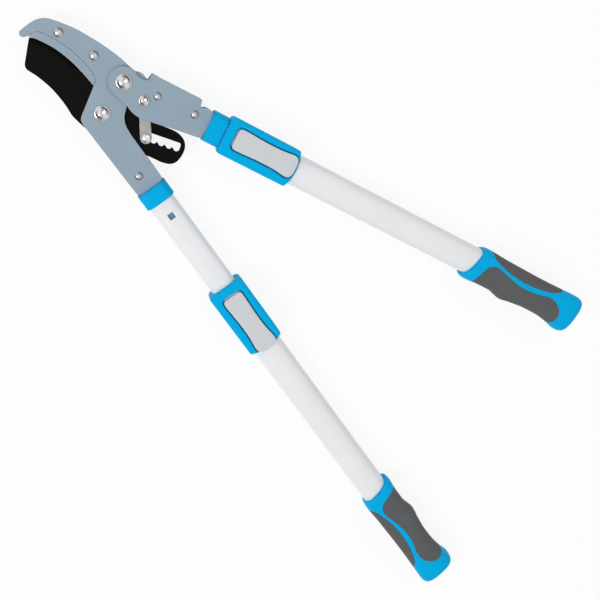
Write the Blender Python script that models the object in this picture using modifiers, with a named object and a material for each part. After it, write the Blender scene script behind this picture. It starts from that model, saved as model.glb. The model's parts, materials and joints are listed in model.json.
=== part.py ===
"""Telescopic ratchet lopper, modelled lying flat with its jaws shut.

Lengths are in metres.  The working origin is the main pivot bolt: +X runs along the
anvil arm from the head to its grip, +Y points to the moving arm, +Z points up and
z = 0 is the middle plane of the blade.  At the end the whole tool is set down so that
the middle of its underside is at the world origin.
"""
import math

import bmesh
import bpy
from mathutils import Matrix, Vector

# ---------------------------------------------------------------- driving sizes
drawing_unit = 0.001            # the outlines below are drawn in millimetres
fit_gap = 0.0003                # gap between two pieces that seat on each other

# layers of the head, from the middle plane outwards
blade_thickness = 0.0040
head_plate_thickness = 0.0030
power_plate_thickness = 0.0030
link_side_play = 0.0005
plate_chamfer = 0.0004

# pivots
blade_pin_x = 0.0124
blade_pin_y = -0.0352
anvil_arm_drop = 0.0403         # main pivot to the axis of the anvil arm
handle_angle = math.radians(28.2)   # between the arms with the jaws shut
link_screw_along = 0.0249       # on the moving arm, along it
link_screw_aside = -0.0070      # on the moving arm, towards the anvil arm

# bolts, screw and rivets
bolt_shank_diameter = 0.0080
pivot_head_diameter = 0.0162
blade_bolt_head_diameter = 0.0154
bolt_head_height = 0.0040
bolt_socket_flats = 0.0050
bolt_socket_depth = 0.0020
bolt_nut_flats = 0.0130
bolt_nut_height = 0.0050
link_shank_diameter = 0.0050
link_head_diameter = 0.0112
link_head_height = 0.0030
link_socket_flats = 0.0040
link_socket_depth = 0.0014
link_nut_flats = 0.0080
link_nut_height = 0.0036
bush_diameter = 0.0140
rivet_shank_diameter = 0.0050
anvil_rivet_head_diameter = 0.0092
arm_rivet_head_diameter = 0.0082
rivet_head_height = 0.0022

# ratchet slot in the blade's tail
notch_count = 5
notch_pitch = 0.0080
slot_angle = math.radians(35.7)
slot_channel = 0.0063           # clear height above the teeth
first_notch_x = 0.0571
first_notch_y = -0.0143
link_pin_diameter = 0.0046
notch_play = 0.0006             # round the link pin in a notch
link_pin_head_diameter = 0.0080
link_pin_head_height = 0.0014

# link
link_width = 0.0119
link_eye_radius = 0.0050
link_swell = 0.0003             # the pin's end is set a little towards the blade's pivot

# blade grinding
blade_grind = 0.0050

# telescopic tubes, the same on both arms
inner_tube_width = 0.0286
inner_tube_wall = 0.0014
inner_tube_corner = 0.0070
inner_tube_length = 0.3350
tube_play = 0.0006
outer_tube_wall = 0.0016
outer_tube_spare = 0.0391       # outer tube past the end of the inner tube, arm pushed in
lock_pitch = 0.1120
lock_positions = 3
lock_window_length = 0.0068
lock_window_width = 0.0066
first_window_along = 0.0177     # from the collar's outer face
collar_wall = 0.0019
collar_length = 0.0171
collar_end_wall = 0.0015
plate_half_width_at_collar = 0.0151
moving_collar_end = 0.1098      # from the main pivot, along the moving arm
anvil_collar_end = 0.1173       # from the main pivot, along the anvil arm
tongue_length = 0.0080          # plates and cores beyond the collar, in the tube
plug_length = 0.0240
plug_headroom = 0.0008          # under the window, for the lever's tooth
end_bush_length = 0.0120
anvil_arm_stage = 1             # lock position of each arm as drawn
moving_arm_stage = 0

# clamp housing with its rocking lever
clamp_gap = 0.0005              # to the collar, arm pushed in
clamp_length = 0.0842
clamp_end_bulge = 0.0048
clamp_side_wall = 0.00345
clamp_floor = 0.0042
clamp_deck = 0.0040
clamp_corner = 0.0040
clamp_rounding = 0.0032
clamp_belly = 0.0140            # corner radius along the underside
clamp_lip = 0.0020
lever_start = 0.0108            # from the clamp's head face
lever_tail_margin = 0.0036      # clamp's far face past the lever's end
lever_head_width = 0.0230
lever_waist_width = 0.0210
lever_tail_width = 0.0246
lever_thickness = 0.0052
lever_rise = 0.0015             # lever top above the housing
lever_relief = 0.0026           # underside rises by this towards both ends
lever_slit = 0.0011             # gap round the lever
lever_swing = math.radians(4.0)
lever_pin_along = 0.0445        # from the clamp's head face
lever_pin_drop = 0.00345        # below the lever's top
lever_pin_diameter = 0.0020
lever_pin_length = 0.0350
tooth_side = 0.0054
tooth_clear = 0.0003            # tooth over the inner tube, lever at rest
spring_strip = 0.0004
spring_width = 0.0080

# grips
grip_on_tube = 0.0383           # length of outer tube seated in the grip
grip_length = 0.1520
grip_roundness = 2.8
inlay_depth = 0.0011
grip_ring_points = 20

# ---------------------------------------------------------------- derived layers
blade_half = blade_thickness / 2
head_low = blade_half + fit_gap
head_high = head_low + head_plate_thickness
link_high = head_high - link_side_play
power_low = head_high + fit_gap
power_high = power_low + power_plate_thickness
tang_half = power_low - fit_gap

inner_tube_half_w = inner_tube_width / 2
inner_tube_half_h = power_high + fit_gap + inner_tube_wall
hollow_half_w = inner_tube_half_w - inner_tube_wall
hollow_half_h = inner_tube_half_h - inner_tube_wall
hollow_corner = inner_tube_corner - inner_tube_wall
outer_hollow_half_w = inner_tube_half_w + tube_play
outer_hollow_half_h = inner_tube_half_h + tube_play
outer_half_w = outer_hollow_half_w + outer_tube_wall
outer_half_h = outer_hollow_half_h + outer_tube_wall
outer_corner = inner_tube_corner + tube_play + outer_tube_wall

# along an arm pushed right in, from the collar's outer face
outer_tube_start = clamp_gap + clamp_lip + fit_gap
inner_tube_reach = inner_tube_length - (collar_length - collar_end_wall - fit_gap)
outer_tube_end = inner_tube_reach + outer_tube_spare
grip_start = outer_tube_end - grip_on_tube

lever_length = clamp_length - lever_start - lever_tail_margin
clamp_half_w = outer_half_w + fit_gap + clamp_side_wall
floor_z = -(outer_half_h + fit_gap + clamp_floor)
deck_z = outer_half_h + fit_gap + clamp_deck
link_pin_radius = link_pin_diameter / 2
notch_radius = link_pin_radius + notch_play
blade_pin = Vector((blade_pin_x, blade_pin_y))
first_notch = Vector((first_notch_x, first_notch_y))

# ---------------------------------------------------------------- empty scene
for old in list(bpy.data.objects):
    bpy.data.objects.remove(old, do_unlink=True)
for old in list(bpy.data.collections):
    bpy.data.collections.remove(old)

parts = bpy.data.collections.new("telescopic_lopper")
cutters = bpy.data.collections.new("cutters")
bpy.context.scene.collection.children.link(parts)
bpy.context.scene.collection.children.link(cutters)


def material(name, colour, roughness, metallic):
    made = bpy.data.materials.new(name)
    made.use_nodes = True
    shader = made.node_tree.nodes["Principled BSDF"]
    shader.inputs["Base Color"].default_value = (*colour, 1.0)
    shader.inputs["Roughness"].default_value = roughness
    shader.inputs["Metallic"].default_value = metallic
    made.diffuse_color = (*colour, 1.0)
    return made


plate_grey = material("plate_grey_paint", (0.30, 0.36, 0.42), 0.42, 0.25)
blade_black = material("blade_black_coating", (0.006, 0.006, 0.005), 0.38, 0.0)
link_steel = material("link_steel", (0.32, 0.30, 0.28), 0.40, 1.0)
bright_nickel = material("bright_nickel", (0.78, 0.76, 0.72), 0.18, 1.0)
shell_blue = material("shell_blue_plastic", (0.0, 0.40, 0.80), 0.35, 0.0)
tube_white = material("tube_white_paint", (0.78, 0.79, 0.82), 0.30, 0.0)
lever_silver = material("lever_silver_plastic", (0.60, 0.61, 0.63), 0.38, 0.0)
rubber_grey = material("rubber_dark_grey", (0.085, 0.09, 0.095), 0.75, 0.0)
plug_blue = material("plug_blue_plastic", (0.10, 0.24, 0.36), 0.5, 0.0)
spring_steel = material("spring_steel", (0.45, 0.45, 0.45), 0.3, 1.0)


# ---------------------------------------------------------------- drawing helpers
def drawn(points):
    """Points of an outline drawn in drawing units."""
    return [Vector((x * drawing_unit, y * drawing_unit)) for x, y in points]


def smooth(points, steps=3):
    """A smooth line through the points, ends included."""
    out = []
    last = len(points) - 1
    for i in range(last):
        before = points[max(i - 1, 0)]
        a = points[i]
        b = points[i + 1]
        after = points[min(i + 2, last)]
        for k in range(steps):
            t = k / steps
            out.append(0.5 * (2 * a + (b - before) * t
                              + (2 * before - 5 * a + 4 * b - after) * t * t
                              + (3 * a - before - 3 * b + after) * t ** 3))
    out.append(points[last].copy())
    return out


def arc(centre, radius, start, end, steps):
    """Points along an arc, angles in degrees."""
    out = []
    for k in range(steps + 1):
        a = math.radians(start + (end - start) * k / steps)
        out.append(Vector((centre[0] + radius * math.cos(a), centre[1] + radius * math.sin(a))))
    return out


def circle(centre, radius, steps=20):
    return arc(centre, radius, 0, 360, steps)[:-1]


def rounded(corners, steps=4):
    """A closed outline whose corners, given as x, y, radius, are rounded off."""
    out = []
    count = len(corners)
    for i in range(count):
        here = Vector(corners[i][:2])
        back = (Vector(corners[i - 1][:2]) - here)
        ahead = (Vector(corners[(i + 1) % count][:2]) - here)
        radius = corners[i][2]
        if radius <= 0:
            out.append(here)
            continue
        half = back.angle(ahead) / 2
        reach = min(radius / math.tan(half), back.length * 0.48, ahead.length * 0.48)
        radius = reach * math.tan(half)
        centre = here + (back.normalized() + ahead.normalized()).normalized() * radius / math.sin(half)
        start = here + back.normalized() * reach - centre
        end = here + ahead.normalized() * reach - centre
        turn = start.angle_signed(end)
        for k in range(steps + 1):
            a = -turn * k / steps
            out.append(centre + Vector((start.x * math.cos(a) - start.y * math.sin(a),
                                        start.x * math.sin(a) + start.y * math.cos(a))))
    return out


def rounded_box(half_w, half_h, corner, steps=5):
    """Tube section: a rectangle with large round corners."""
    return rounded([(half_w, -half_h, corner), (half_w, half_h, corner),
                    (-half_w, half_h, corner), (-half_w, -half_h, corner)], steps)


def chord(half_w, half_h, corner, height):
    """Half width of a round-cornered hollow at a height over its middle."""
    rise = height - (half_h - corner)
    if rise <= 0:
        return half_w
    return half_w - corner + math.sqrt(max(corner * corner - rise * rise, 0.0))


def offset_line(points, distance):
    """The line moved sideways, to its left for a positive distance."""
    out = []
    for i, p in enumerate(points):
        d = points[min(i + 1, len(points) - 1)] - points[max(i - 1, 0)]
        out.append(p + Vector((-d.y, d.x)).normalized() * distance)
    return out


AXES = {"Z": Matrix.Identity(3),
        "X": Matrix(((0, 0, 1), (1, 0, 0), (0, 1, 0))),    # outline x, y become world y, z
        "Y": Matrix(((1, 0, 0), (0, 0, -1), (0, 1, 0)))}   # outline x, y become world x, z


def finish(name, mesh, mat, parent, where, smooth_angle=35):
    mesh.shade_smooth()
    mesh.set_sharp_from_angle(angle=math.radians(smooth_angle))
    obj = bpy.data.objects.new(name, mesh)
    obj.location = where
    obj.parent = parent
    if mat is None:
        cutters.objects.link(obj)
        obj.hide_render = True
        obj.display_type = "WIRE"
    else:
        mesh.materials.append(mat)
        parts.objects.link(obj)
    return obj


def extrude(name, outline, low, high, mat=None, holes=(), axis="Z", parent=None,
            where=(0, 0, 0), chamfer=0.0, chamfer_sides=(-1, 1)):
    """A flat outline with holes, drawn as a 2D curve and given its thickness."""
    curve = bpy.data.curves.new(name, "CURVE")
    curve.dimensions = "2D"
    curve.fill_mode = "BOTH"
    curve.extrude = (high - low) / 2
    for line in [outline] + list(holes):
        spline = curve.splines.new("POLY")
        spline.points.add(len(line) - 1)
        for point, at in zip(spline.points, line):
            point.co = (at[0], at[1], 0, 1)
        spline.use_cyclic_u = True
    draft = bpy.data.objects.new(name + "_draft", curve)
    bpy.context.scene.collection.objects.link(draft)
    draft.matrix_world = Matrix.Translation((0, 0, (high + low) / 2))
    bpy.context.view_layer.update()
    graph = bpy.context.evaluated_depsgraph_get()
    mesh = bpy.data.meshes.new_from_object(draft.evaluated_get(graph))
    mesh.transform(draft.matrix_world)
    bpy.data.objects.remove(draft, do_unlink=True)
    shape = bmesh.new()
    shape.from_mesh(mesh)
    bmesh.ops.remove_doubles(shape, verts=shape.verts, dist=1e-6)
    bmesh.ops.recalc_face_normals(shape, faces=shape.faces)
    bmesh.ops.dissolve_limit(shape, angle_limit=0.005, verts=shape.verts, edges=shape.edges)
    if chamfer > 0:
        weight = shape.edges.layers.float.new("bevel_weight_edge")
        rim = [Vector((p[0], p[1])) for p in outline]
        middle = (low + high) / 2
        for edge in shape.edges:
            if len(edge.link_faces) != 2 or edge.calc_face_angle() < 1.2:
                continue
            a, b = (v.co for v in edge.verts)
            if abs(a.z - b.z) > 1e-7 or math.copysign(1, a.z - middle) not in chamfer_sides:
                continue
            if min((a.xy - p).length for p in rim) < 1e-6:
                edge[weight] = 1.0
    shape.transform(AXES[axis].to_4x4())
    shape.to_mesh(mesh)
    shape.free()
    obj = finish(name, mesh, mat, parent, where)
    if chamfer > 0:
        bevel = obj.modifiers.new("chamfer", "BEVEL")
        bevel.limit_method = "WEIGHT"
        bevel.width = chamfer
        bevel.segments = 1
    return obj


def turned(name, profile, mat, parent=None, where=(0, 0, 0), steps=18):
    """A turned piece: the profile runs down its outer side from top to bottom."""
    mesh = bpy.data.meshes.new(name)
    verts = [(r, 0, z) for r, z in profile]
    mesh.from_pydata(verts, [(i, i + 1) for i in range(len(verts) - 1)], [])
    obj = finish(name, mesh, mat, parent, where)
    screw = obj.modifiers.new("turned", "SCREW")
    screw.axis = "Z"
    screw.steps = steps
    screw.render_steps = steps
    screw.use_merge_vertices = True
    screw.merge_threshold = 0.00001
    screw.use_smooth_shade = True
    return obj


def box(name, low, high, mat=None, parent=None, where=(0, 0, 0)):
    shape = bmesh.new()
    bmesh.ops.create_cube(shape, size=1.0)
    size = [h - l for l, h in zip(low, high)]
    middle = [(h + l) / 2 for l, h in zip(low, high)]
    shape.transform(Matrix.Translation(middle) @ Matrix.Diagonal((*size, 1.0)))
    mesh = bpy.data.meshes.new(name)
    shape.to_mesh(mesh)
    shape.free()
    return finish(name, mesh, mat, parent, where)


def rod(name, radius, low, high, mat=None, parent=None, where=(0, 0, 0), sides=20, axis="Z"):
    shape = bmesh.new()
    bmesh.ops.create_cone(shape, cap_ends=True, segments=sides, radius1=radius, radius2=radius,
                          depth=high - low)
    shape.transform(Matrix.Translation((0, 0, (high + low) / 2)))
    shape.transform(AXES[axis].to_4x4())
    mesh = bpy.data.meshes.new(name)
    shape.to_mesh(mesh)
    shape.free()
    return finish(name, mesh, mat, parent, where)


def combine(obj, other, operation="DIFFERENCE"):
    cut = obj.modifiers.new(operation.lower(), "BOOLEAN")
    cut.operation = operation
    cut.object = other
    cut.solver = "EXACT"
    return obj


def empty(name, where, parent=None, turn=0.0):
    made = bpy.data.objects.new(name, None)
    made.location = where
    made.rotation_euler = (0, 0, turn)
    made.parent = parent
    made.empty_display_size = 0.02
    parts.objects.link(made)
    return made


def loft(name, rings, mat=None, parent=None, where=(0, 0, 0), closed_ends=True, smooth_angle=45):
    """Skin over rings with the same number of points, each end closed round its middle."""
    shape = bmesh.new()
    rows = [[shape.verts.new(p) for p in ring] for ring in rings]
    count = len(rings[0])
    for a, b in zip(rows, rows[1:]):
        for i in range(count):
            j = (i + 1) % count
            if closed_ends:
                shape.faces.new((a[i], a[j], b[j]))
                shape.faces.new((a[i], b[j], b[i]))
            else:
                shape.faces.new((a[i], a[j], b[j], b[i]))
    for row in (rows[0], rows[-1]):
        if closed_ends:
            middle = Vector((0, 0, 0))
            for v in row:
                middle += v.co / count
            hub = shape.verts.new(middle)
            for i in range(count):
                shape.faces.new((row[i], row[(i + 1) % count], hub))
        else:
            shape.faces.new(row)
    bmesh.ops.recalc_face_normals(shape, faces=shape.faces)
    mesh = bpy.data.meshes.new(name)
    shape.to_mesh(mesh)
    shape.free()
    return finish(name, mesh, mat, parent, where, smooth_angle)


# ---------------------------------------------------------------- bodies
tool = empty("lopper_frame", (0, 0, 0))
anvil_arm = empty("anvil_arm_frame", (0, -anvil_arm_drop, 0), tool)
moving_arm = empty("power_arm_pivot", (0, 0, 0), tool, handle_angle)
blade_body = empty("blade_pivot", (blade_pin_x, blade_pin_y, 0), tool)
link_screw = Vector((link_screw_along, link_screw_aside))
link_body = empty("link_pivot", (link_screw_along, link_screw_aside, 0), moving_arm)


def to_tool(p):
    """A point on the moving arm, seen in the working frame."""
    c = math.cos(handle_angle)
    s = math.sin(handle_angle)
    return Vector((p[0] * c - p[1] * s, p[0] * s + p[1] * c))


def to_arm(p):
    c = math.cos(handle_angle)
    s = math.sin(handle_angle)
    return Vector((p[0] * c + p[1] * s, -p[0] * s + p[1] * c))


# ---------------------------------------------------------------- head plates and anvil
anvil_rivets_at = drawn([(-71.1, -23.1), (-35.6, -8.6)])
anvil_arm_rivet_at = Vector((0.0833, -anvil_arm_drop - 0.0027))
moving_arm_rivets_at = drawn([(35.0, 2.5), (75.4, 3.4)])

# the line where the anvil's flange meets the plates, from the hook to the blade's root
pocket = smooth(drawn([(-84.0, -47.6), (-84.4, -43.9), (-83.2, -39.9), (-80.2, -36.5), (-73.3, -32.0),
                       (-64.8, -28.0), (-52.9, -23.6), (-40.6, -20.6), (-28.5, -19.25), (-21.4, -19.1),
                       (-17.6, -20.0), (-15.2, -22.2)]), 2)
# the anvil's working face, which the cutting edge meets
anvil_face = smooth(drawn([(-83.0, -48.0), (-77.5, -43.6), (-68.2, -38.2), (-58.0, -33.6), (-46.1, -30.1),
                           (-35.1, -28.0), (-24.2, -26.7), (-13.9, -25.7)]), 2)

arm_rivet_hole = rivet_shank_diameter / 2 + fit_gap
bolt_hole = bolt_shank_diameter / 2 + fit_gap
plate_end = anvil_collar_end - collar_length - fit_gap
arm_tongue_end = anvil_collar_end + tongue_length
head_tongue = chord(hollow_half_w, hollow_half_h, hollow_corner, head_high) - fit_gap

hook_tip = arc(drawn([(-88.35, -50.6)])[0], 3.55 * drawing_unit, 180, 350, 7)
head_outline = (
    [Vector((plate_end - 0.0012, -anvil_arm_drop + plate_half_width_at_collar)),
     Vector((plate_end - 0.0050, -anvil_arm_drop + plate_half_width_at_collar + 0.0004))]
    + smooth(drawn([(48.0, -24.7), (36.8, -23.7), (31.0, -21.5), (26.2, -18.0), (20.7, -11.0)]), 2)
    + arc((0, 0), 18.7 * drawing_unit, -20, 54, 6)
    + smooth(drawn([(12.3, 20.4), (6.5, 20.2), (2.6, 18.9), (-1.6, 15.5)]), 2)
    + smooth(drawn([(-8.7, 13.5), (-20.8, 10.7), (-35.4, 5.7), (-49.0, 0.0), (-63.5, -7.0),
                    (-75.1, -14.5), (-84.2, -21.2), (-89.2, -26.8), (-91.8, -33.5), (-92.4, -41.0)]), 2)
    + hook_tip
    + pocket
    + smooth(drawn([(2.2, -50.9), (4.7, -54.5), (7.6, -56.4), (12.3, -57.0)]), 2)
    + [Vector((plate_end - 0.0050, -anvil_arm_drop - plate_half_width_at_collar - 0.0004)),
       Vector((plate_end - 0.0012, -anvil_arm_drop - plate_half_width_at_collar)),
       Vector((plate_end, -anvil_arm_drop - plate_half_width_at_collar + 0.0012)),
       Vector((plate_end, -anvil_arm_drop - head_tongue)),
       Vector((arm_tongue_end, -anvil_arm_drop - head_tongue)),
       Vector((arm_tongue_end, -anvil_arm_drop + head_tongue)),
       Vector((plate_end, -anvil_arm_drop + head_tongue)),
       Vector((plate_end, -anvil_arm_drop + plate_half_width_at_collar - 0.0012))])
head_holes = ([circle((0, 0), bolt_hole), circle(blade_pin, bolt_hole),
               circle(anvil_arm_rivet_at, arm_rivet_hole, 16)]
              + [circle(p, arm_rivet_hole, 16) for p in anvil_rivets_at])
for side, low, high in (("front", head_low, head_high), ("rear", -head_high, -head_low)):
    extrude("head_plate_" + side, head_outline, low, high, plate_grey, head_holes, parent=tool,
            chamfer=plate_chamfer, chamfer_sides=(1 if side == "front" else -1,))

# the anvil is a T in section: a flange under the plates and a web riveted between them
flange_top = offset_line(pocket, -fit_gap)
flange_top[0] = anvil_face[0] + Vector((-0.0003, 0.0006))
flange = extrude("anvil", anvil_face + flange_top[::-1], -head_high, head_high, plate_grey, parent=tool)
web = extrude("anvil_web", drawn([(-80.6, -39.0), (-68.0, -33.0), (-52.0, -27.0), (-37.0, -24.2),
                                  (-24.0, -23.0), (-20.0, -15.0), (-26.0, -5.0), (-36.0, -1.5),
                                  (-50.0, -6.8), (-66.0, -14.5), (-77.0, -22.0), (-82.0, -30.0)]),
              -blade_half, blade_half, parent=tool)
combine(flange, web, "UNION")
for i, p in enumerate(anvil_rivets_at):
    combine(flange, rod("anvil_rivet_hole_%d" % i, arm_rivet_hole, -0.01, 0.01, parent=tool,
                        where=(p.x, p.y, 0), sides=16))

# spacer between the plates behind the head, running into the tube
core_outline = rounded([(arm_tongue_end, -anvil_arm_drop - hollow_half_w + fit_gap, 0),
                        (arm_tongue_end, -anvil_arm_drop + hollow_half_w - fit_gap, 0),
                        (anvil_arm_rivet_at.x - 0.0070, -anvil_arm_drop + hollow_half_w - fit_gap, 0.004),
                        (anvil_arm_rivet_at.x - 0.0070, -anvil_arm_drop - hollow_half_w + fit_gap, 0.004)])
extrude("anvil_arm_core", core_outline, -blade_half, blade_half, plate_grey,
        [circle(anvil_arm_rivet_at, arm_rivet_hole, 16)], parent=tool)

# spacer ring round the main pivot, between the head plates
extrude("pivot_bush", circle((0, 0), bush_diameter / 2, 28), -blade_half, blade_half, link_steel,
        [circle((0, 0), bolt_hole)], parent=tool)


# ---------------------------------------------------------------- fasteners
def dome(radius, height, base, steps=4):
    """Profile of a domed head from its top down to its rim."""
    ball = (radius * radius + height * height) / (2 * height)
    wide = math.asin(min(radius / ball, 1.0))
    return [(ball * math.sin(wide * k / steps), base + height - ball * (1 - math.cos(wide * k / steps)))
            for k in range(steps + 1)]


def bolt(name, head_diameter, head_height, socket_flats, socket_depth, shank_diameter, seat, nut_height,
         parent, where):
    """Domed socket screw standing on +seat, its shank reaching through the nut below."""
    rim = 0.0010
    radius = head_diameter / 2
    base = seat + fit_gap
    profile = dome(radius - 0.0003, head_height - rim, base + rim)
    profile += [(radius, base + rim * 0.5), (radius, base), (shank_diameter / 2, base),
                (shank_diameter / 2, -seat - fit_gap - nut_height - 0.0006),
                (shank_diameter / 2 - 0.0006, -seat - fit_gap - nut_height - 0.0012),
                (0, -seat - fit_gap - nut_height - 0.0012)]
    made = turned(name, profile, bright_nickel, parent, (*where, 0))
    socket = rod(name + "_socket", socket_flats / math.sqrt(3), base + head_height - socket_depth,
                 base + head_height + 0.002, parent=parent, where=(*where, 0), sides=6)
    combine(made, socket)
    return made


def nut(name, flats, height, shank_diameter, seat, parent, where):
    hexagon = circle(where, flats / math.sqrt(3), 6)
    return extrude(name, hexagon, -seat - fit_gap - height, -seat - fit_gap, bright_nickel,
                   [circle(where, shank_diameter / 2 + fit_gap)], parent=parent, chamfer=0.0005)


def rivet(name, head_diameter, seat, parent, where):
    """Rivet with a domed head on each side."""
    radius = head_diameter / 2
    base = seat + fit_gap
    upper = dome(radius, rivet_head_height, base, 3)
    lower = [(r, -z) for r, z in reversed(upper)]
    shank = rivet_shank_diameter / 2
    return turned(name, upper + [(shank, base), (shank, -base)] + lower, bright_nickel, parent,
                  (*where, 0), 16)


bolt("pivot_bolt", pivot_head_diameter, bolt_head_height, bolt_socket_flats, bolt_socket_depth,
     bolt_shank_diameter, power_high, bolt_nut_height, tool, (0, 0))
nut("pivot_nut", bolt_nut_flats, bolt_nut_height, bolt_shank_diameter, power_high, tool, Vector((0, 0)))
bolt("blade_bolt", blade_bolt_head_diameter, bolt_head_height, bolt_socket_flats, bolt_socket_depth,
     bolt_shank_diameter, head_high, bolt_nut_height, tool, blade_pin)
nut("blade_nut", bolt_nut_flats, bolt_nut_height, bolt_shank_diameter, head_high, tool, blade_pin)
bolt("link_screw", link_head_diameter, link_head_height, link_socket_flats, link_socket_depth,
     link_shank_diameter, power_high, link_nut_height, moving_arm, link_screw)
nut("link_nut", link_nut_flats, link_nut_height, link_shank_diameter, power_high, moving_arm, link_screw)
rivet("anvil_rivet_outer", anvil_rivet_head_diameter, head_high, tool, anvil_rivets_at[0])
rivet("anvil_rivet_inner", anvil_rivet_head_diameter, head_high, tool, anvil_rivets_at[1])
rivet("anvil_arm_rivet", arm_rivet_head_diameter, head_high, tool, anvil_arm_rivet_at)
rivet("power_arm_rivet_inner", arm_rivet_head_diameter, power_high, moving_arm, moving_arm_rivets_at[0])
rivet("power_arm_rivet_outer", arm_rivet_head_diameter, power_high, moving_arm, moving_arm_rivets_at[1])

# ---------------------------------------------------------------- blade with its ratchet tail
# the cutting edge lies along the anvil's face, a fit gap below it
edge_line = offset_line(anvil_face, -fit_gap)[1:-2]
tip = drawn([(-82.4, -48.5)])[0]
front_foot = drawn([(-65.6, -66.6)])[0]
edge_line[0] = tip
heel = drawn([(-12.0, -26.1), (-6.0, -24.3), (2.0, -19.5), (10.0, -13.0), (19.0, -8.0), (28.0, -7.0),
              (37.0, -5.4), (46.6, -0.7), (55.9, 6.2), (62.0, 10.3), (68.0, 13.8), (72.4, 15.4),
              (77.5, 15.9), (82.6, 14.8), (87.4, 11.7), (90.9, 6.9), (93.2, 1.2), (94.1, -4.3),
              (92.2, -10.2), (86.4, -15.8), (79.0, -20.0), (71.8, -24.4), (62.0, -32.0), (50.0, -41.0),
              (36.0, -49.5), (22.0, -55.4)])
spine = drawn([(11.2, -58.3), (4.5, -59.5), (-1.9, -60.3), (-8.0, -59.8), (-14.9, -59.4), (-25.6, -59.7),
               (-35.0, -60.8), (-43.4, -62.7), (-51.2, -65.0), (-58.6, -68.0), (-61.0, -68.5),
               (-63.6, -67.9)])
back = smooth(heel, 2) + smooth(spine, 2) + [front_foot]
blade_outline = edge_line + back


def blade_section(height, inset):
    """The blade's outline at one height, its cutting edge drawn in by the grinding."""
    along_front = (front_foot - tip).normalized()
    ring = []
    for i, p in enumerate(edge_line):
        if i == 0:
            inward = along_front
        else:
            d = edge_line[min(i + 1, len(edge_line) - 1)] - edge_line[i - 1]
            inward = Vector((d.y, -d.x)).normalized()
        fade = min(1.0, (len(edge_line) - i) / 2)
        q = p + inward * inset * fade - blade_pin
        ring.append(Vector((q.x, q.y, height)))
    for p in back:
        q = p - blade_pin
        ring.append(Vector((q.x, q.y, height)))
    return ring


blade = loft("blade", [blade_section(-blade_half, blade_grind), blade_section(-blade_half * 0.1, 0),
                       blade_section(blade_half * 0.1, 0), blade_section(blade_half, blade_grind)],
             blade_black, blade_body, closed_ends=False, smooth_angle=15)
combine(blade, rod("blade_bore", bolt_hole, -0.01, 0.01, parent=blade_body))


def slot_point(u, v):
    """A point of the slot: u runs along the row of notches from the first, v up from the teeth."""
    c = math.cos(slot_angle)
    s = math.sin(slot_angle)
    return first_notch + Vector((u * c - v * s, u * s + v * c)) - blade_pin


def notch_line():
    """Lower side of the slot: round notches, each with a steep outer wall and a sloping way out."""
    out = []
    for k in range(notch_count):
        start = k * notch_pitch
        for a in (-150, -118, -90, -60, -32, -5):
            out.append(slot_point(start + notch_radius * math.cos(math.radians(a)),
                                  notch_radius * math.sin(math.radians(a))))
    return out


slot_end = (notch_count - 1) * notch_pitch + notch_radius
slot_round = slot_channel * 0.42
slot_outline = ([slot_point(-notch_radius, 0)] + notch_line()
                + [slot_point(slot_end - slot_round + slot_round * math.cos(math.radians(a)),
                              slot_channel - slot_round + slot_round * math.sin(math.radians(a)))
                   for a in (0, 30, 60, 90)]
                + [slot_point(-notch_radius + slot_round + slot_round * math.cos(math.radians(a)),
                              slot_channel - slot_round + slot_round * math.sin(math.radians(a)))
                   for a in (90, 120, 150, 180)])
combine(blade, extrude("ratchet_slot", slot_outline, -0.01, 0.01, parent=blade_body))

# ---------------------------------------------------------------- link with its pin in the first notch
pin_rest = Vector((-0.00020, -0.00010))     # the pin sits a touch short of the notch's middle
link_pin_at = to_arm(first_notch + pin_rest) - link_screw
link_reach = link_pin_at.length
link_turn = math.atan2(link_pin_at.y, link_pin_at.x)
link_hole = link_shank_diameter / 2 + fit_gap


def along_link(p):
    c = math.cos(link_turn)
    s = math.sin(link_turn)
    return Vector((p.x * c - p.y * s, p.x * s + p.y * c))


half_link = link_width / 2
link_end = (link_reach, -link_swell)
link_outline = [along_link(p) for p in
                arc((0, 0), link_eye_radius, 75, 285, 10)
                + [Vector((link_reach * 0.28, -link_eye_radius * 1.05))]
                + arc(link_end, half_link, -90, 90, 10)
                + [Vector((link_reach * 0.28, link_eye_radius * 1.05))]]
for side, low, high in (("front", head_low, link_high), ("rear", -link_high, -head_low)):
    extrude("link_" + side, link_outline, low, high, link_steel,
            [circle((0, 0), link_hole), circle(link_pin_at, link_pin_radius + fit_gap, 20)],
            parent=link_body, chamfer=0.0003, chamfer_sides=(1 if side == "front" else -1,))
pin_head = link_pin_head_diameter / 2
pin_seat = link_high + fit_gap
pin_dome = dome(pin_head, link_pin_head_height, pin_seat, 3)
turned("link_pin", pin_dome + [(link_pin_radius, pin_seat), (link_pin_radius, -pin_seat)]
       + [(r, -z) for r, z in reversed(pin_dome)], bright_nickel, link_body, (*link_pin_at, 0), 18)

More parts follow.
